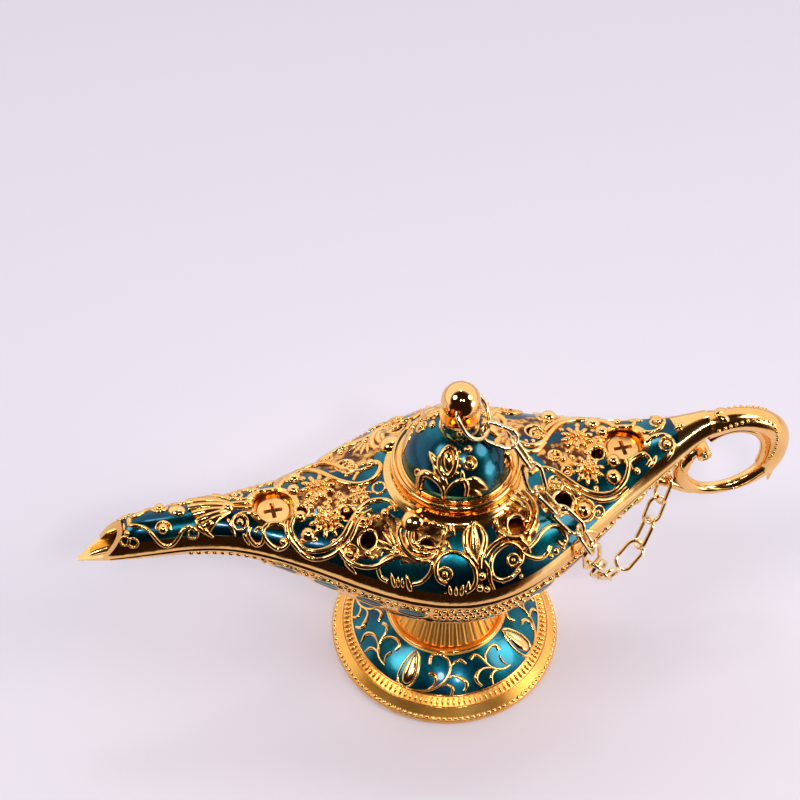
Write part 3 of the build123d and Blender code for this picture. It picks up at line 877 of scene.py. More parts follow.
    def _places(self, pixel: Pixel, steps: Sequence[Matrix]) -> list[Seat]:
        """The copies of the seat at a pixel; none where the photograph shows no skin."""
        seat = self.seat(pixel)
        return [seat.moved(step) for step in steps] if seat else []

    def _line(self, item: Line, steps: Sequence[Matrix]) -> None:
        """Makes a wire.

        Args:
            item: the wire's path and sizes.
            steps: the turns or mirrorings of its copies.
        """
        seats = self.skin.follow(self.view, item.path, self.LINE_STEP, item.closed)
        radius = item.radius * self.weight
        for step in steps:
            self.strand([seat.moved(step) for seat in seats], radius, item.shares, item.closed)

    def _bead(self, item: Bead, steps: Sequence[Matrix]) -> None:
        """Makes a boss.

        Args:
            item: the boss's place and sizes.
            steps: the turns or mirrorings of its copies.
        """
        share = self.AIM_STEP / math.hypot(*item.aim)
        seat = self.seat(item.centre)
        tip = self.seat((item.centre[0] + item.aim[0] * share, item.centre[1] + item.aim[1] * share))
        if seat is None:
            return
        along = tip.point - seat.point if tip else LENGTHWAYS
        size = (item.radius * item.length, item.radius, item.radius * item.height)
        for step in steps:
            self.knob(seat.moved(step).frame(step.to_3x3() @ along), size, item.radius > self.FINE_BEAD)

    def _leaf(self, item: Leaf, steps: Sequence[Matrix]) -> None:
        """Makes a leaf.

        Args:
            item: the leaf's ends and sizes.
            steps: the turns or mirrorings of its copies.
        """
        root, tip = self.seat(item.root), self.seat(item.tip)
        if root is None or tip is None:
            return
        along = tip.point - root.point
        middle = Seat(root.point, (root.normal + tip.normal).normalized())
        size = (along.length / MM, item.width, item.height)
        for step in steps:
            frame = middle.moved(step).frame(step.to_3x3() @ along)
            self.petal(frame, size, item.groove, item.width > self.FINE_LEAF)

    def _daisy(self, item: Daisy, steps: Sequence[Matrix]) -> None:
        """Makes a flower.

        Args:
            item: the flower's place and sizes.
            steps: the turns or mirrorings of its copies.
        """
        radius = item.radius
        for seat in self._places(item.centre, steps):
            frame = seat.frame()
            self.knob(frame, tuple(share * radius for share in self.DISC), True)
            for reach, half, rise, fewer in self.PETAL_RINGS:
                count = item.petals - fewer
                size = (half * radius, self.PETAL_WIDTH * radius * reach / count, self.PETAL_HEIGHT * radius)
                spot = Matrix.Translation((radius * reach * MM, 0.0, radius * rise * MM))
                for turn in turns(count, self.PETAL_SHIFT * rise):
                    place = frame @ turn @ spot @ Matrix.Rotation(self.PETAL_LEAN, 4, "Y")
                    self.knob(place, size, radius > self.BIG_FLOWER)
            heart = Matrix.Translation((0.0, 0.0, self.HEART_RISE * radius * MM))
            self.knob(frame @ heart, (self.HEART * radius,) * 3, True)
            if radius >= self.BIG_FLOWER:
                spot = Matrix.Translation(Vector(self.LEAF_PLACE) * radius * MM)
                size = tuple(share * radius for share in self.LEAF_SIZE)
                for turn in turns(self.LEAF_COUNT, self.LEAF_SHIFT):
                    self.petal(frame @ turn @ spot, size, self.LEAF_GROOVE)

    def _eye(self, item: Eye, steps: Sequence[Matrix]) -> None:
        """Makes a ring and its bead.

        Args:
            item: the ring's place and sizes.
            steps: the turns or mirrorings of its copies.
        """
        for seat in self._places(item.centre, steps):
            self._ring(seat, item.radius, item.wire)
            if item.bead:
                size = (item.bead, item.bead, item.bead * self.EYE_HEIGHT)
                self.knob(seat.frame(), size, item.bead > self.FINE_BEAD)

    def finish(self, body: str, material: bpy.types.Material, slot: str) -> None:
        """Turns the gathered work into pieces that ride on a body.

        Args:
            body: the body that they ride on.
            material: their finish.
            slot: the record's slot that the finish stands for.
        """
        if self.curve.splines:
            holder = bpy.data.objects.new(f"{self.name}_lines", self.curve)
            bpy.context.scene.collection.objects.link(holder)
            bpy.context.view_layer.update()
            mesh = bpy.data.meshes.new_from_object(holder)
            bpy.data.objects.remove(holder)
            place_piece(f"{self.name}_wire", mesh, body, material, slot)
        if self.bosses.faces:
            mesh = bpy.data.meshes.new(f"{self.name}_bosses")
            self.bosses.to_mesh(mesh)
            place_piece(f"{self.name}_bosses", mesh, body, material, slot)
        self.bosses.free()


def place_piece(name: str, mesh: bpy.types.Mesh, body: str, material: bpy.types.Material, slot: str) -> None:
    """Puts a finished mesh in the scene on its body, with its finish.

    Args:
        name: the piece's name.
        mesh: its mesh.
        body: the body that it rides on.
        material: its finish.
        slot: the record's slot that the finish stands for; not used.
    """
    mesh.materials.clear()
    mesh.materials.append(material)
    for face in mesh.polygons:
        face.use_smooth = True
        face.material_index = 0
    piece = bpy.data.objects.new(name, mesh)
    bpy.context.scene.collection.objects.link(piece)
    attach(piece, body)
    LOG.info("piece %s: %d faces", name, len(mesh.polygons))


def dress_node(node: bpy.types.Object, material: bpy.types.Material) -> None:
    """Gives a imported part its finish.

    Args:
        node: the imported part.
        material: the finish.
    """
    if not node.material_slots:
        node.data.materials.append(material)
    for slot in node.material_slots:
        slot.material = material


@dataclass
class Workshop:
    """What every sub-assembly needs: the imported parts, the photograph's view and the finishes."""

    nodes: dict[str, bpy.types.Object]
    view: PhotoView
    finishes: dict[Finish, bpy.types.Material]

    def goldwork(self, name: str, *names: str, weight: float = 1.0) -> Goldwork:
        """Ornament work over the named castings, with the wires of its tables thickened by the weight."""
        return Goldwork(name, Skin(self.nodes, names), self.view, weight)

    def dress(self, finish: Finish, *names: str) -> None:
        """Gives the named parts a finish.

        Args:
            finish: the finish.
            names: the parts' names.
        """
        for name in names:
            dress_node(self.nodes[name], self.finishes[finish])
            LOG.info("part %s: %s", name, finish.name.lower())

    def place(self, work: Goldwork, body: str = "lamp", finish: Finish = Finish.CAST_GOLD,
              slot: str = "polished_gold") -> None:
        """Puts finished ornament work on its body."""
        work.finish(body, self.finishes[finish], slot)


# sub-assemblies


@dataclass
class Foot:
    """The flared foot: bead edge, ribbed ring, enamelled field with leaves and vines, fluted neck."""

    beads: Studs = Studs(124, 23.3, 1.05, (0.62, 0.62, 0.62))
    ribs: Studs = Studs(116, 20.85, 3.55, (0.86, 0.33, 0.42), 29.0)
    border_rings: tuple[Triple, ...] = ((21.85, 2.95, 0.14), (19.75, 4.1, 0.24), (12.15, 8.75, 0.34))
    border_parts: int = 120
    vines: Table = (
        Line(((416, 651), (409, 656), (402, 665), (398, 676), (399, 684), (405, 687), (412, 684), (417, 675),
              (419, 664), (419, 655)), 0.27, closed=True),
        Leaf((405, 684), (416, 653), 3.2, 0.75, 0.3),
        Line(((396, 680), (407, 688), (418, 691), (430, 690), (439, 686), (446, 679), (450, 670), (449, 662),
              (444, 656), (437, 654), (431, 657), (430, 664)), 0.3, (0.5, 1, 1, 1, 1.1, 1.3)),
        Line(((428, 689), (434, 685), (436, 679), (433, 674), (429, 674)), 0.3, (0.4, 1.0, 1.7, 1.2)),
        Line(((450, 669), (454, 663), (460, 660), (466, 664)), 0.3, (0.6, 1.0, 1.5, 1.1)),
        Line(((446, 680), (452, 676), (460, 678), (467, 684), (464, 691)), 0.3, (0.5, 1.0, 1.9, 1.2)),
        Line(((440, 685), (448, 685), (453, 689), (451, 695)), 0.28, (0.5, 1.0, 1.5, 1.0)),
        Line(((470, 659), (474, 655), (480, 657), (486, 663), (493, 668), (502, 669), (510, 665)),
              0.3, (1.6, 1.2, 1.0, 1.0, 0.6)),
        Line(((487, 664), (485, 655), (489, 647), (495, 645), (499, 650)), 0.3, (0.6, 1.0, 1.3, 1.4)),
        Line(((494, 668), (485, 668), (478, 672), (476, 680), (482, 686)), 0.3, (0.5, 1.0, 1.9, 1.0)),
        Line(((500, 669), (494, 671), (491, 677), (493, 684)), 0.28, (0.5, 1.0, 1.6, 0.8)),
        Line(((500, 655), (502, 661), (508, 665)), 0.26, (1.4, 1.0, 0.6)),
    )

    def build(self, shop: Workshop) -> None:
        """Dresses the foot's parts and lays their ornament.

        Args:
            shop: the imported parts, the view and the finishes.
        """
        shop.dress(Finish.SATIN_GOLD, "foot")
        shop.dress(Finish.TEAL_ENAMEL, "foot_enamel")
        shop.dress(Finish.STEEL, "foot_washer", "foot_screw")
        work = shop.goldwork("foot", "foot", "foot_enamel")
        work.studs(self.beads)
        work.studs(self.ribs)
        for ring in self.border_rings:
            work.level_ring(*ring, self.border_parts)
        work.work(self.vines, Repeat.QUARTERS)
        shop.place(work)


@dataclass
class LowerHull:
    """The keel shell: a lip, a line of beads, enamel scallops and knots of gold under its rim.

    A drop is how far below the rim something sits, in millimetres. A boss is its drop and its half sizes.
    """

    first_place: float = -52.0
    last_place: float = 46.0
    bead_pitch: float = 1.45
    bead: Quad = (2.7, 0.62, 0.5, 0.42)
    knot_half: float = 9.0
    knot_high: Quad = (3.7, 0.6, 0.85, 0.6)
    knot_low: Quad = (5.2, 0.7, 0.7, 0.55)
    scallop_pitch: float = 7.4
    scallop_count: int = 8
    scallop_drop: float = 4.6
    scallop_size: Triple = (2.9, 1.35, 0.35)
    border_half: Pair = (3.1, 1.6)
    border_parts: int = 24
    border_wire: float = 0.34
    border_search: float = 3.0
    between: Quad = (3.9, 0.6, 0.8, 0.5)
    lip_runs: tuple[Pair, ...] = ((-67.0, 16.0), (28.0, 46.0))
    lip_drop: float = 1.0
    lip_radius: float = 0.9
    lip_shares: tuple[float, ...] = (0.4, 0.9, 1.0, 1.0, 0.9, 0.3)
    lip_lift: float = -0.5
    rim_search: Triple = (56.0, 40.0, 0.25)
    rim_gain: float = 0.02
    outside: Pair = (0.04, 0.05)
    side_slope: Pair = (0.9, 0.5)

    def build(self, shop: Workshop) -> None:
        """Dresses the shell and lays its ornament.

        Args:
            shop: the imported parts, the view and the finishes.
        """
        shop.dress(Finish.CAST_GOLD, "lower_shell")
        work = shop.goldwork("keel", "lower_shell")
        self._lip(work)
        place = self.first_place
        while place < self.last_place:
            self._boss(work, place, *self.bead)
            if abs(place) < self.knot_half:
                self._boss(work, place + self.bead_pitch / 2, *self.knot_high)
                self._boss(work, place, *self.knot_low)
            place += self.bead_pitch
        shop.place(work)
        self._scallops(shop)

    def _rim(self, work: Goldwork, place: float) -> Pair | None:
        """The rim's half width and height at a place along the hull, in millimetres.

        Args:
            work: ornament work over the shell.
            place: how far along the hull, in millimetres.

        Returns:
            Both, or None where the hull has ended.
        """
        best = None
        height, lowest, step = self.rim_search
        while height > lowest:
            seat = work.skin.seat(Vector((place * MM, self.outside[0], height * MM)), -SIDEWAYS, 0.0)
            if seat and seat.point.y > 0 and (best is None or seat.point.y / MM > best[0] + self.rim_gain):
                best = (seat.point.y / MM, height)
            height -= step
        return best

    def _side(self, work: Goldwork, place: float, drop: float) -> Seat | None:
        """A seat on the +Y side at a place along the hull, a drop below the rim.

        Args:
            work: ornament work over the shell.
            place: how far along the hull, in millimetres.
            drop: how far below the rim.

        Returns:
            The seat, or None past the hull's end.
        """
        rim = self._rim(work, place)
        if rim is None:
            return None
        fall, rise = self.side_slope
        height = (rim[1] - drop * fall) * MM
        target = Vector((place * MM, 0.0, height))
        origin = Vector((place * MM, self.outside[1], height - drop * rise * MM))
        seat = work.skin.seat(origin, (target - origin).normalized())
        return seat if seat and seat.point.y > 0 else None

    def _lip(self, work: Goldwork) -> None:
        """A half-round lip just under the joint of the shells, with a gap where the chain swings past.

        Args:
            work: the ornament work that it goes to.
        """
        for first, last in self.lip_runs:
            found = (self._side(work, first + i, self.lip_drop) for i in range(round(last - first) + 1))
            seats = [seat for seat in found if seat]
            for step in Repeat.SIDES.steps():
                work.strand([seat.moved(step) for seat in seats], self.lip_radius, self.lip_shares,
                            lift=self.lip_lift)

    def _boss(self, work: Goldwork, place: float, drop: float, *size: float) -> None:
        """One boss at a drop below the rim on both sides of the hull.

        Args:
            work: the ornament work that it goes to.
            place: how far along the hull, in millimetres.
            drop: how far below the rim.
            size: its half sizes.
        """
        seat = self._side(work, place, drop)
        if seat:
            for step in Repeat.SIDES.steps():
                work.knob(seat.moved(step).frame(), size)

    def _scallops(self, shop: Workshop) -> None:
        """Enamel scallops with wire borders, with a bead between each two.

        Args:
            shop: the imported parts, the view and the finishes.
        """
        enamel = shop.goldwork("keel_enamel", "lower_shell")
        border = shop.goldwork("keel_border", "lower_shell")
        for i in range(self.scallop_count):
            side = 1.0 if i % 2 else -1.0
            place = side * (self.knot_half + self.scallop_pitch * (i // 2 + 0.5))
            seat = self._side(border, place, self.scallop_drop)
            if seat is None:
                continue
            self._boss(border, place + side * self.scallop_pitch / 2, *self.between)
            for step in Repeat.SIDES.steps():
                moved = seat.moved(step)
                frame = moved.frame()
                enamel.knob(frame, self.scallop_size, True)
                above = moved.normal * self.border_search * MM
                found = (border.skin.seat(frame @ spot + above, -moved.normal)
                         for spot in oval(*self.border_half, self.border_parts))
                border.strand([near for near in found if near], self.border_wire, closed=True)
        shop.place(enamel, finish=Finish.TEAL_ENAMEL, slot="teal_enamel")
        shop.place(border)


@dataclass
class UpperHull:
    """The crowned shell: polished band, enamel fields, openwork, scrolls, shells, flowers and the screws."""

    castings: tuple[str, ...] = ("upper_shell", "enamel_front", "enamel_rear")
    weight: float = 1.4
    spout_top: Table = (
        Line(((131, 519), (139, 515), (148, 510), (158, 506), (168, 503)), 0.24),
        Bead((177, 511), 1.35, 1.3, (1.0, 0.15), 0.6),
        Line(((230, 501), (215, 498), (201, 497), (190, 498)), 0.62, (0.4, 0.8, 1.0, 0.9)),
        Line(((230, 503), (214, 502), (200, 502), (188, 503)), 0.62, (0.4, 0.8, 1.0, 0.9)),
        Line(((230, 506), (214, 506), (200, 507), (188, 509)), 0.62, (0.4, 0.8, 1.0, 0.9)),
        Bead((228, 507), 1.2, 1.0, height=0.8), Line(((231, 504), (243, 503), (256, 504)), 0.34),
        Line(((231, 508), (243, 508), (256, 508)), 0.34),
    )
    spout_sides: Table = (
        Line(((130, 520), (129, 525), (137, 526), (145, 528), (151, 533), (156, 539), (161, 544), (167, 546),
              (173, 544), (178, 538), (182, 531), (187, 527), (192, 527), (196, 531)), 0.3),
        Eye((193, 534), 0.95, 0.24, 0.0), Eye((125, 541), 0.85, 0.24, 0.0), Eye((133, 543), 0.95, 0.24, 0.0),
        Bead((127, 533), 0.6), Bead((163, 529), 1.05, height=1.0),
        Line(((156, 529), (158, 524), (163, 522), (169, 524), (171, 530)), 0.24),
        Line(((230, 508), (215, 510), (203, 512), (192, 515)), 0.60, (0.4, 0.8, 1.0, 0.9)),
        Line(((230, 510), (218, 513), (207, 517), (197, 521)), 0.58, (0.4, 0.8, 1.0, 0.9)),
        Line(((230, 512), (221, 516), (212, 520), (203, 526)), 0.55, (0.4, 0.8, 1.0, 0.9)),
        Line(((227, 514), (217, 519), (211, 526), (209, 531)), 0.42, (0.5, 1.0, 1.3, 0.8)),
        Line(((196, 520), (199, 527), (206, 534)), 0.36, (0.7, 1.2, 0.6)),
        Line(((203, 525), (207, 532), (213, 537)), 0.36, (0.7, 1.2, 0.6)),
        Line(((236, 516), (243, 513), (251, 513), (257, 515), (260, 520)), 0.3),
        Eye((240, 522), 1.45, 0.32, 0.75), Leaf((227, 518), (236, 537), 1.3, 0.6),
        Line(((250, 527), (248, 534), (251, 540), (256, 545), (262, 543), (264, 536), (263, 530), (258, 528),
              (255, 532)), 0.32),
        Leaf((243, 533), (250, 546), 1.1, 0.5),
        Line(((268, 524), (263, 530), (265, 538), (271, 545), (278, 549), (285, 547), (289, 541), (287, 536)),
              0.34),
        Line(((266, 527), (271, 524), (279, 523), (286, 527)), 0.28), Bead((283, 541), 0.75),
    )
    front_top: Table = (
        Line(((294, 518), (291, 527), (293, 535), (298, 543), (305, 549), (315, 551), (326, 549), (336, 543),
              (344, 535), (349, 526), (354, 517), (361, 508), (370, 502), (380, 500), (389, 501), (395, 506),
              (396, 512)), 0.42, (0.8, 1.0, 1.1, 1.1, 1.0, 0.8)),
        Line(((287, 503), (281, 499), (278, 493), (279, 487), (284, 481), (292, 476), (302, 472), (313, 471),
              (323, 474), (333, 479), (344, 483), (356, 485), (367, 483), (375, 478), (380, 470), (380, 464),
              (375, 462), (371, 465)), 0.44, (0.7, 1.0, 1.0, 1.1, 1.0, 0.8)),
        Line(((353, 481), (357, 474), (364, 469), (372, 467)), 0.26), Leaf((344, 477), (356, 470), 1.2, 0.5),
        Bead((290, 480), 0.95, 1.6, (1.0, -0.1), 0.5), Bead((291, 491), 0.8, 1.3, (1.0, 0.3), 0.7),
        Eye((379, 488), 1.25, 0.3, 0.0), Daisy((318, 488), 3.5, 13), Daisy((327, 521), 3.5, 13),
        Daisy((360, 495), 2.3, 11), Daisy((343, 499), 1.1, 8), Daisy((311, 499), 1.3, 8),
    )
    front_edge: Table = (
        Line(((291, 512), (287, 519), (286, 527), (288, 535), (293, 543), (299, 550), (306, 556), (314, 559),
              (324, 558), (334, 554), (341, 548)), 0.38),
        Line(((341, 549), (349, 541), (354, 532), (358, 523), (364, 515), (372, 510)), 0.36),
        Bead((300, 517), 1.3, height=0.9), Bead((308, 535), 1.5, height=0.9), Bead((303, 540), 0.6),
    )
    front_side: Table = (
        Eye((363, 520), 1.55, 0.34, 0.8), Daisy((363, 520), 1.2, 8), Bead((378, 517), 0.6),
        Bead((385, 513), 0.95), Bead((390, 508), 0.55), Leaf((396, 553), (375, 547), 1.1, 0.6, 0.4),
        Leaf((397, 551), (376, 539), 1.1, 0.6, 0.4), Leaf((397, 550), (382, 531), 1.1, 0.6, 0.4),
        Leaf((398, 549), (389, 527), 1.1, 0.6, 0.4), Leaf((399, 548), (397, 525), 1.1, 0.6, 0.4),
        Bead((397, 552), 0.8), Eye((350, 553), 1.5, 0.3, 0.7), Bead((356, 557), 0.55), Bead((368, 553), 0.75),
        Bead((376, 556), 0.5),
        Line(((340, 549), (344, 557), (352, 563), (364, 567), (376, 566), (386, 561), (395, 557), (402, 556)),
              0.4),
        Leaf((338, 546), (335, 557), 1.0, 0.5), Leaf((344, 560), (357, 575), 1.3, 0.5),
        Bead((413, 521), 2.2, 1.1, (1.0, -0.4), 0.7),
        Line(((404, 522), (399, 531), (400, 541), (405, 550), (413, 557), (424, 560), (434, 558)),
              0.5, (0.7, 1.1, 1.0, 0.7)),
        Line(((408, 529), (407, 537), (410, 546), (417, 553), (427, 556), (436, 553)), 0.46, (0.7, 1.1, 0.8)),
        Line(((413, 532), (413, 540), (417, 547), (426, 551), (436, 549), (442, 543)), 0.42, (0.7, 1.1, 0.8)),
        Line(((424, 523), (434, 524), (443, 527), (446, 533)), 0.5), Leaf((447, 525), (441, 542), 1.2, 0.6),
        Leaf((451, 524), (455, 537), 1.0, 0.5), Leaf((445, 540), (452, 552), 1.1, 0.5),
        Line(((473, 522), (467, 530), (465, 540), (467, 550), (473, 559), (478, 566)),
              0.42, (0.5, 1.2, 1.2, 0.8)),
        Line(((474, 522), (481, 529), (485, 538), (483, 549), (480, 558), (480, 568)),
              0.42, (0.5, 1.2, 1.2, 0.8)),
        Leaf((477, 563), (473, 524), 2.2, 0.4, 0.6),
        Line(((378, 569), (382, 561), (391, 556), (400, 556), (411, 559), (422, 562), (431, 562), (432, 568),
              (428, 576), (421, 582), (413, 584)), 0.34),
        Line(((378, 569), (381, 577), (388, 581)), 0.36), Leaf((395, 588), (391, 572), 1.1, 0.6),
        Leaf((398, 588), (398, 576), 1.0, 0.5), Leaf((403, 588), (402, 577), 1.0, 0.5),
        Leaf((411, 592), (406, 574), 1.4, 0.6),
        Line(((446, 584), (439, 580), (436, 572), (437, 563), (441, 556), (449, 552), (459, 553), (468, 559),
              (474, 568), (476, 578), (473, 587), (466, 592)), 0.36),
        Eye((445, 574), 1.25, 0.28, 0.7), Leaf((446, 594), (443, 581), 1.2, 0.6),
        Leaf((451, 595), (449, 585), 1.0, 0.5), Leaf((456, 596), (456, 586), 1.0, 0.5),
        Leaf((461, 596), (463, 584), 1.1, 0.5), Leaf((467, 594), (469, 580), 1.3, 0.6), Bead((482, 576), 0.9),
        Bead((480, 588), 0.8), Bead((487, 589), 0.7),
        Line(((484, 561), (489, 570), (490, 580), (494, 589)), 0.36, (0.8, 1.2, 0.6)),
        Line(((517, 571), (511, 577), (502, 580), (494, 577), (491, 570), (491, 562), (494, 554), (501, 547),
              (509, 543), (517, 546), (522, 553), (521, 561), (516, 566)), 0.36),
        Eye((513, 560), 1.15, 0.28, 0.5), Bead((518, 570), 0.6), Bead((521, 576), 0.5), Bead((503, 581), 0.5),
        Line(((484, 557), (490, 548), (498, 541), (508, 537), (518, 539), (526, 545), (529, 553)), 0.4),
    )
    rear_side: Table = (
        Line(((522, 490), (530, 498), (535, 508), (534, 520), (529, 531), (519, 538), (507, 537), (498, 531)),
              0.5, (0.6, 1.0, 1.1, 0.8)),
        Line(((520, 499), (527, 506), (529, 516), (524, 526), (516, 531)), 0.44, (0.6, 1.1, 0.8)),
        Leaf((507, 494), (517, 513), 1.5, 0.7, 0.5), Leaf((512, 490), (523, 507), 1.4, 0.7, 0.5),
        Leaf((500, 503), (508, 517), 1.3, 0.6, 0.4), Bead((515, 533), 0.8, 1.6, (1.0, 0.0), 0.6),
        Leaf((495, 517), (498, 529), 1.1, 0.5), Bead((504, 529), 0.5),
        Line(((550, 546), (547, 553), (540, 558), (530, 557), (522, 552), (529, 547), (536, 540), (541, 533),
              (548, 527), (556, 526), (563, 531), (566, 539), (562, 545), (557, 541)), 0.36),
        Bead((556, 551), 0.8), Bead((551, 556), 0.6), Bead((563, 548), 0.6), Eye((583, 510), 2.3, 0.36, 1.7),
        Eye((598, 512), 1.2, 0.3, 0.6), Daisy((590, 543), 1.9, 9),
        Line(((578, 538), (584, 532), (593, 531), (601, 537), (603, 546), (597, 553)), 0.36),
        Eye((556, 483), 1.45, 0.32, 0.0), Daisy((556, 483), 1.1, 8),
        Line(((530, 474), (537, 469), (548, 469), (558, 473), (568, 480), (580, 488), (592, 493), (604, 494),
              (614, 491), (622, 484), (627, 474), (628, 464), (624, 456), (617, 452)), 0.42),
        Line(((563, 484), (574, 491), (586, 497), (596, 500), (607, 500), (618, 496), (627, 488)), 0.38),
        Bead((613, 461), 1.4, height=0.9), Bead((613, 477), 1.6, height=0.9),
        Line(((642, 449), (647, 441), (655, 436), (664, 435), (671, 438)), 0.34),
        Line(((632, 470), (629, 463), (635, 456), (644, 454), (650, 460), (647, 466)), 0.34),
        Eye((667, 444), 1.4, 0.3, 0.9), Leaf((657, 455), (650, 469), 1.2, 0.6),
        Leaf((674, 446), (667, 461), 1.3, 0.6), Bead((637, 471), 0.8),
    )
    rear_top: Table = (
        Daisy((577, 438), 3.3, 13), Daisy((588, 470), 3.3, 13), Daisy((551, 459), 2.1, 11),
        Daisy((601, 438), 1.2, 8), Bead((563, 459), 0.8),
        Line(((510, 438), (516, 446), (527, 452), (538, 450), (545, 443)), 0.36), Bead((520, 442), 0.45),
        Bead((526, 441), 0.45), Bead((533, 441), 0.5), Bead((527, 459), 0.9, 1.6, (1.0, 0.2), 0.6),
        Leaf((674, 424), (683, 430), 1.3, 0.6), Leaf((684, 423), (674, 430), 1.3, 0.6),
    )
    holes: tuple[Triple, ...] = (
        (18.9, -9.9, 1.74), (8.4, -13.9, 1.59), (28.0, -1.2, 1.20), (19.8, 0.0, 0.90), (21.1, -4.0, 0.69),
        (18.0, 7.1, 1.71), (8.4, 13.9, 1.59), (-30.4, -2.0, 0.90), (-22.2, -4.1, 1.26), (-20.1, 7.5, 1.41),
        (-19.4, -10.0, 1.41), (-8.5, 14.6, 1.35), (-9.3, -14.7, 1.59),
    )
    hole_wire: float = 0.46
    hole_margin: float = 0.45
    hole_parts: int = 24
    lowest_skin: float = 40.5
    search_height: float = 70.0
    screw_places: tuple[Pair, ...] = ((-35.6, 51.0), (33.8, 51.7))
    recess_depth: float = 0.5
    recess_size: Triple = (1.75, 0.36, 0.12)

    def _hole_rims(self, shop: Workshop) -> None:
        """Lays a wire round every pierced hole.

        Args:
            shop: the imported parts, the view and the finishes.
        """
        work = shop.goldwork("hole_rims", *self.castings)
        for x, y, radius in self.holes:
            reach = radius + self.hole_margin
            above = Vector((x, y, self.search_height)) * MM
            found = (work.skin.seat(above + spot, -SKYWARD) for spot in oval(reach, reach, self.hole_parts))
            seats = [seat for seat in found if seat and seat.point.z > self.lowest_skin * MM]
            work.strand(seats, self.hole_wire, closed=len(seats) > self.hole_parts)
        shop.place(work)

    def _screw_recesses(self, shop: Workshop) -> None:
        """Darkens the cross of each screw head, as the shade in it does.

        Args:
            shop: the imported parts, the view and the finishes.
        """
        work = shop.goldwork("screw_shade", "front_screw", "rear_screw")
        for x, top in self.screw_places:
            for turn in (0.0, math.pi / 2):
                place = Matrix.Translation((x * MM, 0.0, (top - self.recess_depth) * MM))
                work.knob(place @ Matrix.Rotation(turn, 4, "Z"), self.recess_size)
        # painted shade: the bosses in the crosses get the near-black shade finish, not a metal of their own
        shop.place(work, finish=Finish.PAINTED_SHADE, slot="screw_gold")

    def build(self, shop: Workshop) -> None:
        """Dresses the shell, its enamel and its screws and lays their ornament.

        Args:
            shop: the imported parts, the view and the finishes.
        """
        self._hole_rims(shop)
        self._screw_recesses(shop)
        shop.dress(Finish.CAST_GOLD, "upper_shell")
        shop.dress(Finish.HULL_ENAMEL, "enamel_front", "enamel_rear")
        shop.dress(Finish.SCREW_GOLD, "front_screw", "rear_screw")
        for name, once, sides in (("spout", self.spout_top, self.spout_sides),
                                  ("front_field", self.front_top, self.front_edge),
                                  ("front_side", (), self.front_side), ("rear_side", (), self.rear_side),
                                  ("rear_field", self.rear_top, ())):
            work = shop.goldwork(name, *self.castings, weight=self.weight)
            work.work(once, Repeat.ONCE)
            work.work(sides, Repeat.SIDES)
            shop.place(work)


@dataclass
class Lid:
    """The lid: lip, enamelled dome with its cartouches and petals, neck, polished ball and its ring."""

    weight: float = 1.5
    neck_beads: Studs = Studs(6, 3.15, 68.6, (0.62, 0.62, 0.8), start=0.25)
    dome_ring: Triple = (10.55, 57.5, 0.3)
    dome_ring_parts: int = 90
    dress_items: Table = (
        Line(((450, 447), (444, 451), (440, 459), (440, 468), (445, 475), (451, 474), (455, 466), (456, 457),
              (454, 450)), 0.42, closed=True),
        Bead((448, 461), 1.0, 2.0, (0.1, 1.0), 0.6), Bead((459, 452), 0.42), Bead((460, 459), 0.42),
        Bead((459, 466), 0.42), Bead((457, 473), 0.45), Leaf((439, 467), (429, 451), 2.0, 0.7),
        Leaf((442, 477), (433, 463), 2.0, 0.7), Leaf((446, 487), (439, 473), 2.0, 0.7),
        Line(((444, 497), (442, 487), (435, 478), (426, 473), (421, 477), (420, 487), (422, 492)),
              0.5, (0.6, 0.9, 1.3, 0.9)),
        Eye((418, 473), 0.7, 0.26, 0.0),
        Line(((444, 497), (449, 488), (456, 482), (464, 480), (467, 487), (466, 495)),
              0.34, (0.6, 0.9, 1.2, 0.9)),
        Leaf((466, 480), (488, 489), 3.4, 0.9, 0.3), Leaf((466, 489), (482, 495), 2.4, 0.7),
        Leaf((463, 480), (462, 469), 1.2, 0.5), Eye((470, 463), 1.15, 0.3, 0.8),
        Bead((468, 449), 0.75, 1.3, (1.0, -0.3)),
    )

    def build(self, shop: Workshop) -> None:
        """Dresses the lid's parts and lays their ornament.

        Args:
            shop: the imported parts, the view and the finishes.
        """
        shop.dress(Finish.CAST_GOLD, "lid", "lid_neck")
        shop.dress(Finish.MIRROR_GOLD, "finial_ball")
        shop.dress(Finish.PALE_GOLD, "finial_ring")
        shop.dress(Finish.TEAL_ENAMEL, "lid_enamel", "neck_enamel")
        work = shop.goldwork("dome", "lid", "lid_enamel", weight=self.weight)
        work.work(self.dress_items, Repeat.THIRDS)
        work.level_ring(*self.dome_ring, self.dome_ring_parts)
        work.studs(self.neck_beads)
        shop.place(work, "lid")


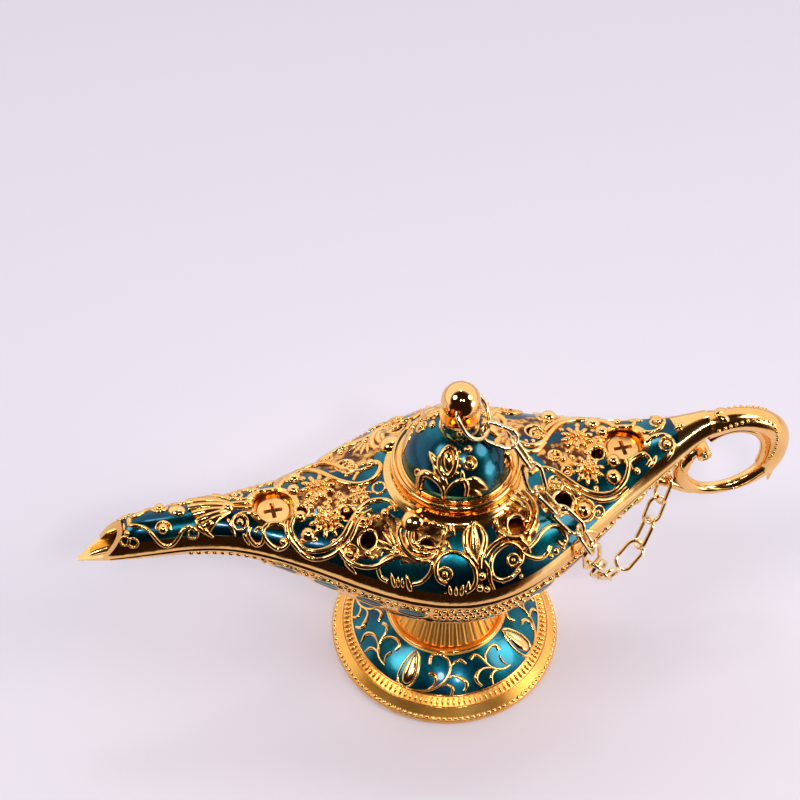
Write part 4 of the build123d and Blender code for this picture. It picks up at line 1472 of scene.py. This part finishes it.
@dataclass
class Handle:
    """The cast handle: beaded lines over the loop, a leaf bow at its top, scroll ends and a long wire."""

    bow: Table = (
        Leaf((722, 403), (739, 415), 2.4, 0.7), Leaf((724, 409), (714, 415), 2.0, 0.7),
    )
    long_wire: Table = (
        Line(((681, 455), (681, 467), (688, 479), (700, 486), (716, 489), (733, 488), (750, 481), (764, 472)),
              0.24),
    )
    bead_line: tuple[Pixel, ...] = (
        (719, 431), (729, 427), (741, 423), (753, 420), (765, 420), (773, 424), (777, 432), (777, 442),
        (774, 452), (768, 461))
    bead_step: float = 1.0
    bead_pitch: float = 1.15
    bead_size: Triple = (0.42, 0.42, 0.34)
    scroll_ends: tuple[Quad, ...] = ((37.3, 36.14, 1.5, 2.4), (50.9, 46.53, 1.7, 1.5))
    scroll_parts: int = 48
    scroll_turns: float = 2.0
    scroll_wire: float = 0.26
    scroll_reach: Pair = (0.86, 0.34)
    scroll_knob: Pair = (0.36, 0.5)

    def _scroll_end(self, work: Goldwork, x: float, z: float, side: float, radius: float) -> None:
        """Lays a spiral wire and a knob on both flat ends of a rolled scroll.

        Args:
            work: the ornament work that it goes to.
            x: the scroll's middle, in millimetres.
            z: its height.
            side: half its width.
            radius: its outer radius.
        """
        wide, narrow = self.scroll_reach
        for face in (-1.0, 1.0):
            middle = Seat(Vector((x, face * side, z)) * MM, Vector((0.0, face, 0.0)))
            seats = []
            for i in range(self.scroll_parts + 1):
                share = i / self.scroll_parts
                angle = 2.0 * math.pi * self.scroll_turns * share
                reach = radius * (wide - (wide - narrow) * share) * MM
                arm = Vector((reach * math.cos(angle), 0.0, reach * math.sin(angle)))
                seats.append(Seat(middle.point + arm, middle.normal))
            work.strand(seats, self.scroll_wire)
            knob, height = self.scroll_knob
            work.knob(middle.frame(), (knob * radius, knob * radius, height), True)

    def build(self, shop: Workshop) -> None:
        """Dresses the handle and lays its ornament.

        Args:
            shop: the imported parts, the view and the finishes.
        """
        shop.dress(Finish.CAST_GOLD, "handle")
        work = shop.goldwork("handle_work", "handle")
        work.work(self.bow, Repeat.SIDES)
        work.work(self.long_wire, Repeat.ONCE)
        for end in self.scroll_ends:
            self._scroll_end(work, *end)
        gone = self.bead_pitch
        last: Seat | None = None
        for seat in work.skin.follow(shop.view, self.bead_line, self.bead_step):
            if last is not None:
                gone += (seat.point - last.point).length / MM
            if gone >= self.bead_pitch:
                gone = 0.0
                for step in Repeat.SIDES.steps():
                    work.knob(seat.moved(step).frame(), self.bead_size)
            last = seat
        shop.place(work)


@dataclass
class Chain:
    """The chain's wire links."""

    count: int = 15

    def build(self, shop: Workshop) -> None:
        """Dresses the links."""
        shop.dress(Finish.PALE_GOLD, *(f"chain_link_{i:02d}" for i in range(1, self.count + 1)))


# studio


@dataclass
class Studio:
    """The pale floor, the soft sky with its dark side towards the camera, and the soft boxes.

    Each box is a place in metres, a width in metres and a power in watts.
    """

    floor_half: float = 1.6
    floor_near: float = -0.062
    floor_finish: FloorFinish = FloorFinish("pale_floor", (0.80, 0.765, 0.865), (0.82, 0.755, 0.82))
    dark_ways: tuple[Triple, Triple] = ((-0.29, -0.95, -0.05), (-0.2, -0.66, 0.72))
    sky_stops: Triple = (0.40, 0.50, 0.60)
    sky_pale: Colour = (0.97, 1.0, 1.06)
    sky_brown: Colour = (0.22, 0.12, 0.06)
    sky_dark: Colour = (0.020, 0.010, 0.006)
    sky_strength: float = 1.13
    box_colour: Colour = (1.0, 0.98, 0.97)
    box_aim: Triple = (0.0, 0.0, 0.045)
    boxes: tuple[tuple[Triple, float, float], ...] = (
        ((-0.55, -0.10, 0.75), 0.34, 2.0), ((0.60, -0.25, 0.60), 0.34, 1.8),
        ((-0.16, -0.50, 0.78), 0.09, 0.9), ((0.06, -0.55, 0.74), 0.08, 1.0),
        ((0.52, -0.34, 0.10), 0.26, 0.8), ((0.05, 0.32, 0.95), 0.14, 0.5),
    )

    def build(self) -> None:
        """Makes the floor, the sky and the lights."""
        self._floor()
        self._sky()
        for i, (place, size, power) in enumerate(self.boxes):
            self._box(i, Vector(place), size, power)
        bpy.context.scene.view_settings.view_transform = "Standard"

    def _floor(self) -> None:
        """Lays the floor under the foot; it ends just in front of it, below the picture's edge."""
        mesh = bpy.data.meshes.new("floor")
        sheet = bmesh.new()
        bmesh.ops.create_grid(sheet, x_segments=2, y_segments=2, size=self.floor_half)
        bmesh.ops.translate(sheet, verts=sheet.verts[:], vec=(0.0, self.floor_near + self.floor_half, 0.0))
        sheet.to_mesh(mesh)
        sheet.free()
        mesh.materials.append(self.floor_finish.make())
        floor = bpy.data.objects.new("floor", mesh)
        bpy.context.scene.collection.objects.link(floor)

    def _sky(self) -> None:
        """A pale room that is dark on the camera's side, which the polished gold shows as brown."""
        world = bpy.data.worlds.new("studio_sky")
        bpy.context.scene.world = world
        world.use_nodes = True
        bench = Bench(world.node_tree)
        place = bench.node("ShaderNodeTexCoord", out="Generated")
        low, high = (bench.vector("DOT_PRODUCT", place, tuple(Vector(way).normalized()), out="Value")
                     for way in self.dark_ways)
        tone = bench.ramp(bench.math("MAXIMUM", low, high),
                          *zip(self.sky_stops, (self.sky_pale, self.sky_brown, self.sky_dark)))
        light = bench.node("ShaderNodeBackground", None, {"Color": tone, "Strength": self.sky_strength})
        bench.node("ShaderNodeOutputWorld", None, {"Surface": light})

    def _box(self, number: int, place: Vector, size: float, power: float) -> None:
        """Hangs one soft box that faces the lamp.

        Args:
            number: its number, for the name.
            place: where it hangs, in metres.
            size: its width, in metres.
            power: its power, in watts.
        """
        data = bpy.data.lights.new(f"soft_box_{number}", "AREA")
        data.shape = "DISK"
        data.size = size
        data.energy = power
        data.color = self.box_colour
        light = bpy.data.objects.new(f"soft_box_{number}", data)
        aim = (Vector(self.box_aim) - place).normalized()
        light.matrix_world = Matrix.Translation(place) @ aim.to_track_quat("-Z", "Y").to_matrix().to_4x4()
        bpy.context.scene.collection.objects.link(light)


def main() -> None:
    """Loads the frame, dresses every sub-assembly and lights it."""
    logging.basicConfig(level=logging.INFO, format="%(name)s: %(message)s")
    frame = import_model()
    view = PhotoView()
    view.make()
    Studio().build()
    finishes = {finish: finish.value.make() for finish in Finish}
    shop = Workshop(frame["nodes"], view, finishes)
    for part in (Foot(), LowerHull(), UpperHull(), Lid(), Handle(), Chain()):
        part.build(shop)
        LOG.info("sub-assembly %s is dressed", type(part).__name__)


if __name__ == "__main__":
    main()
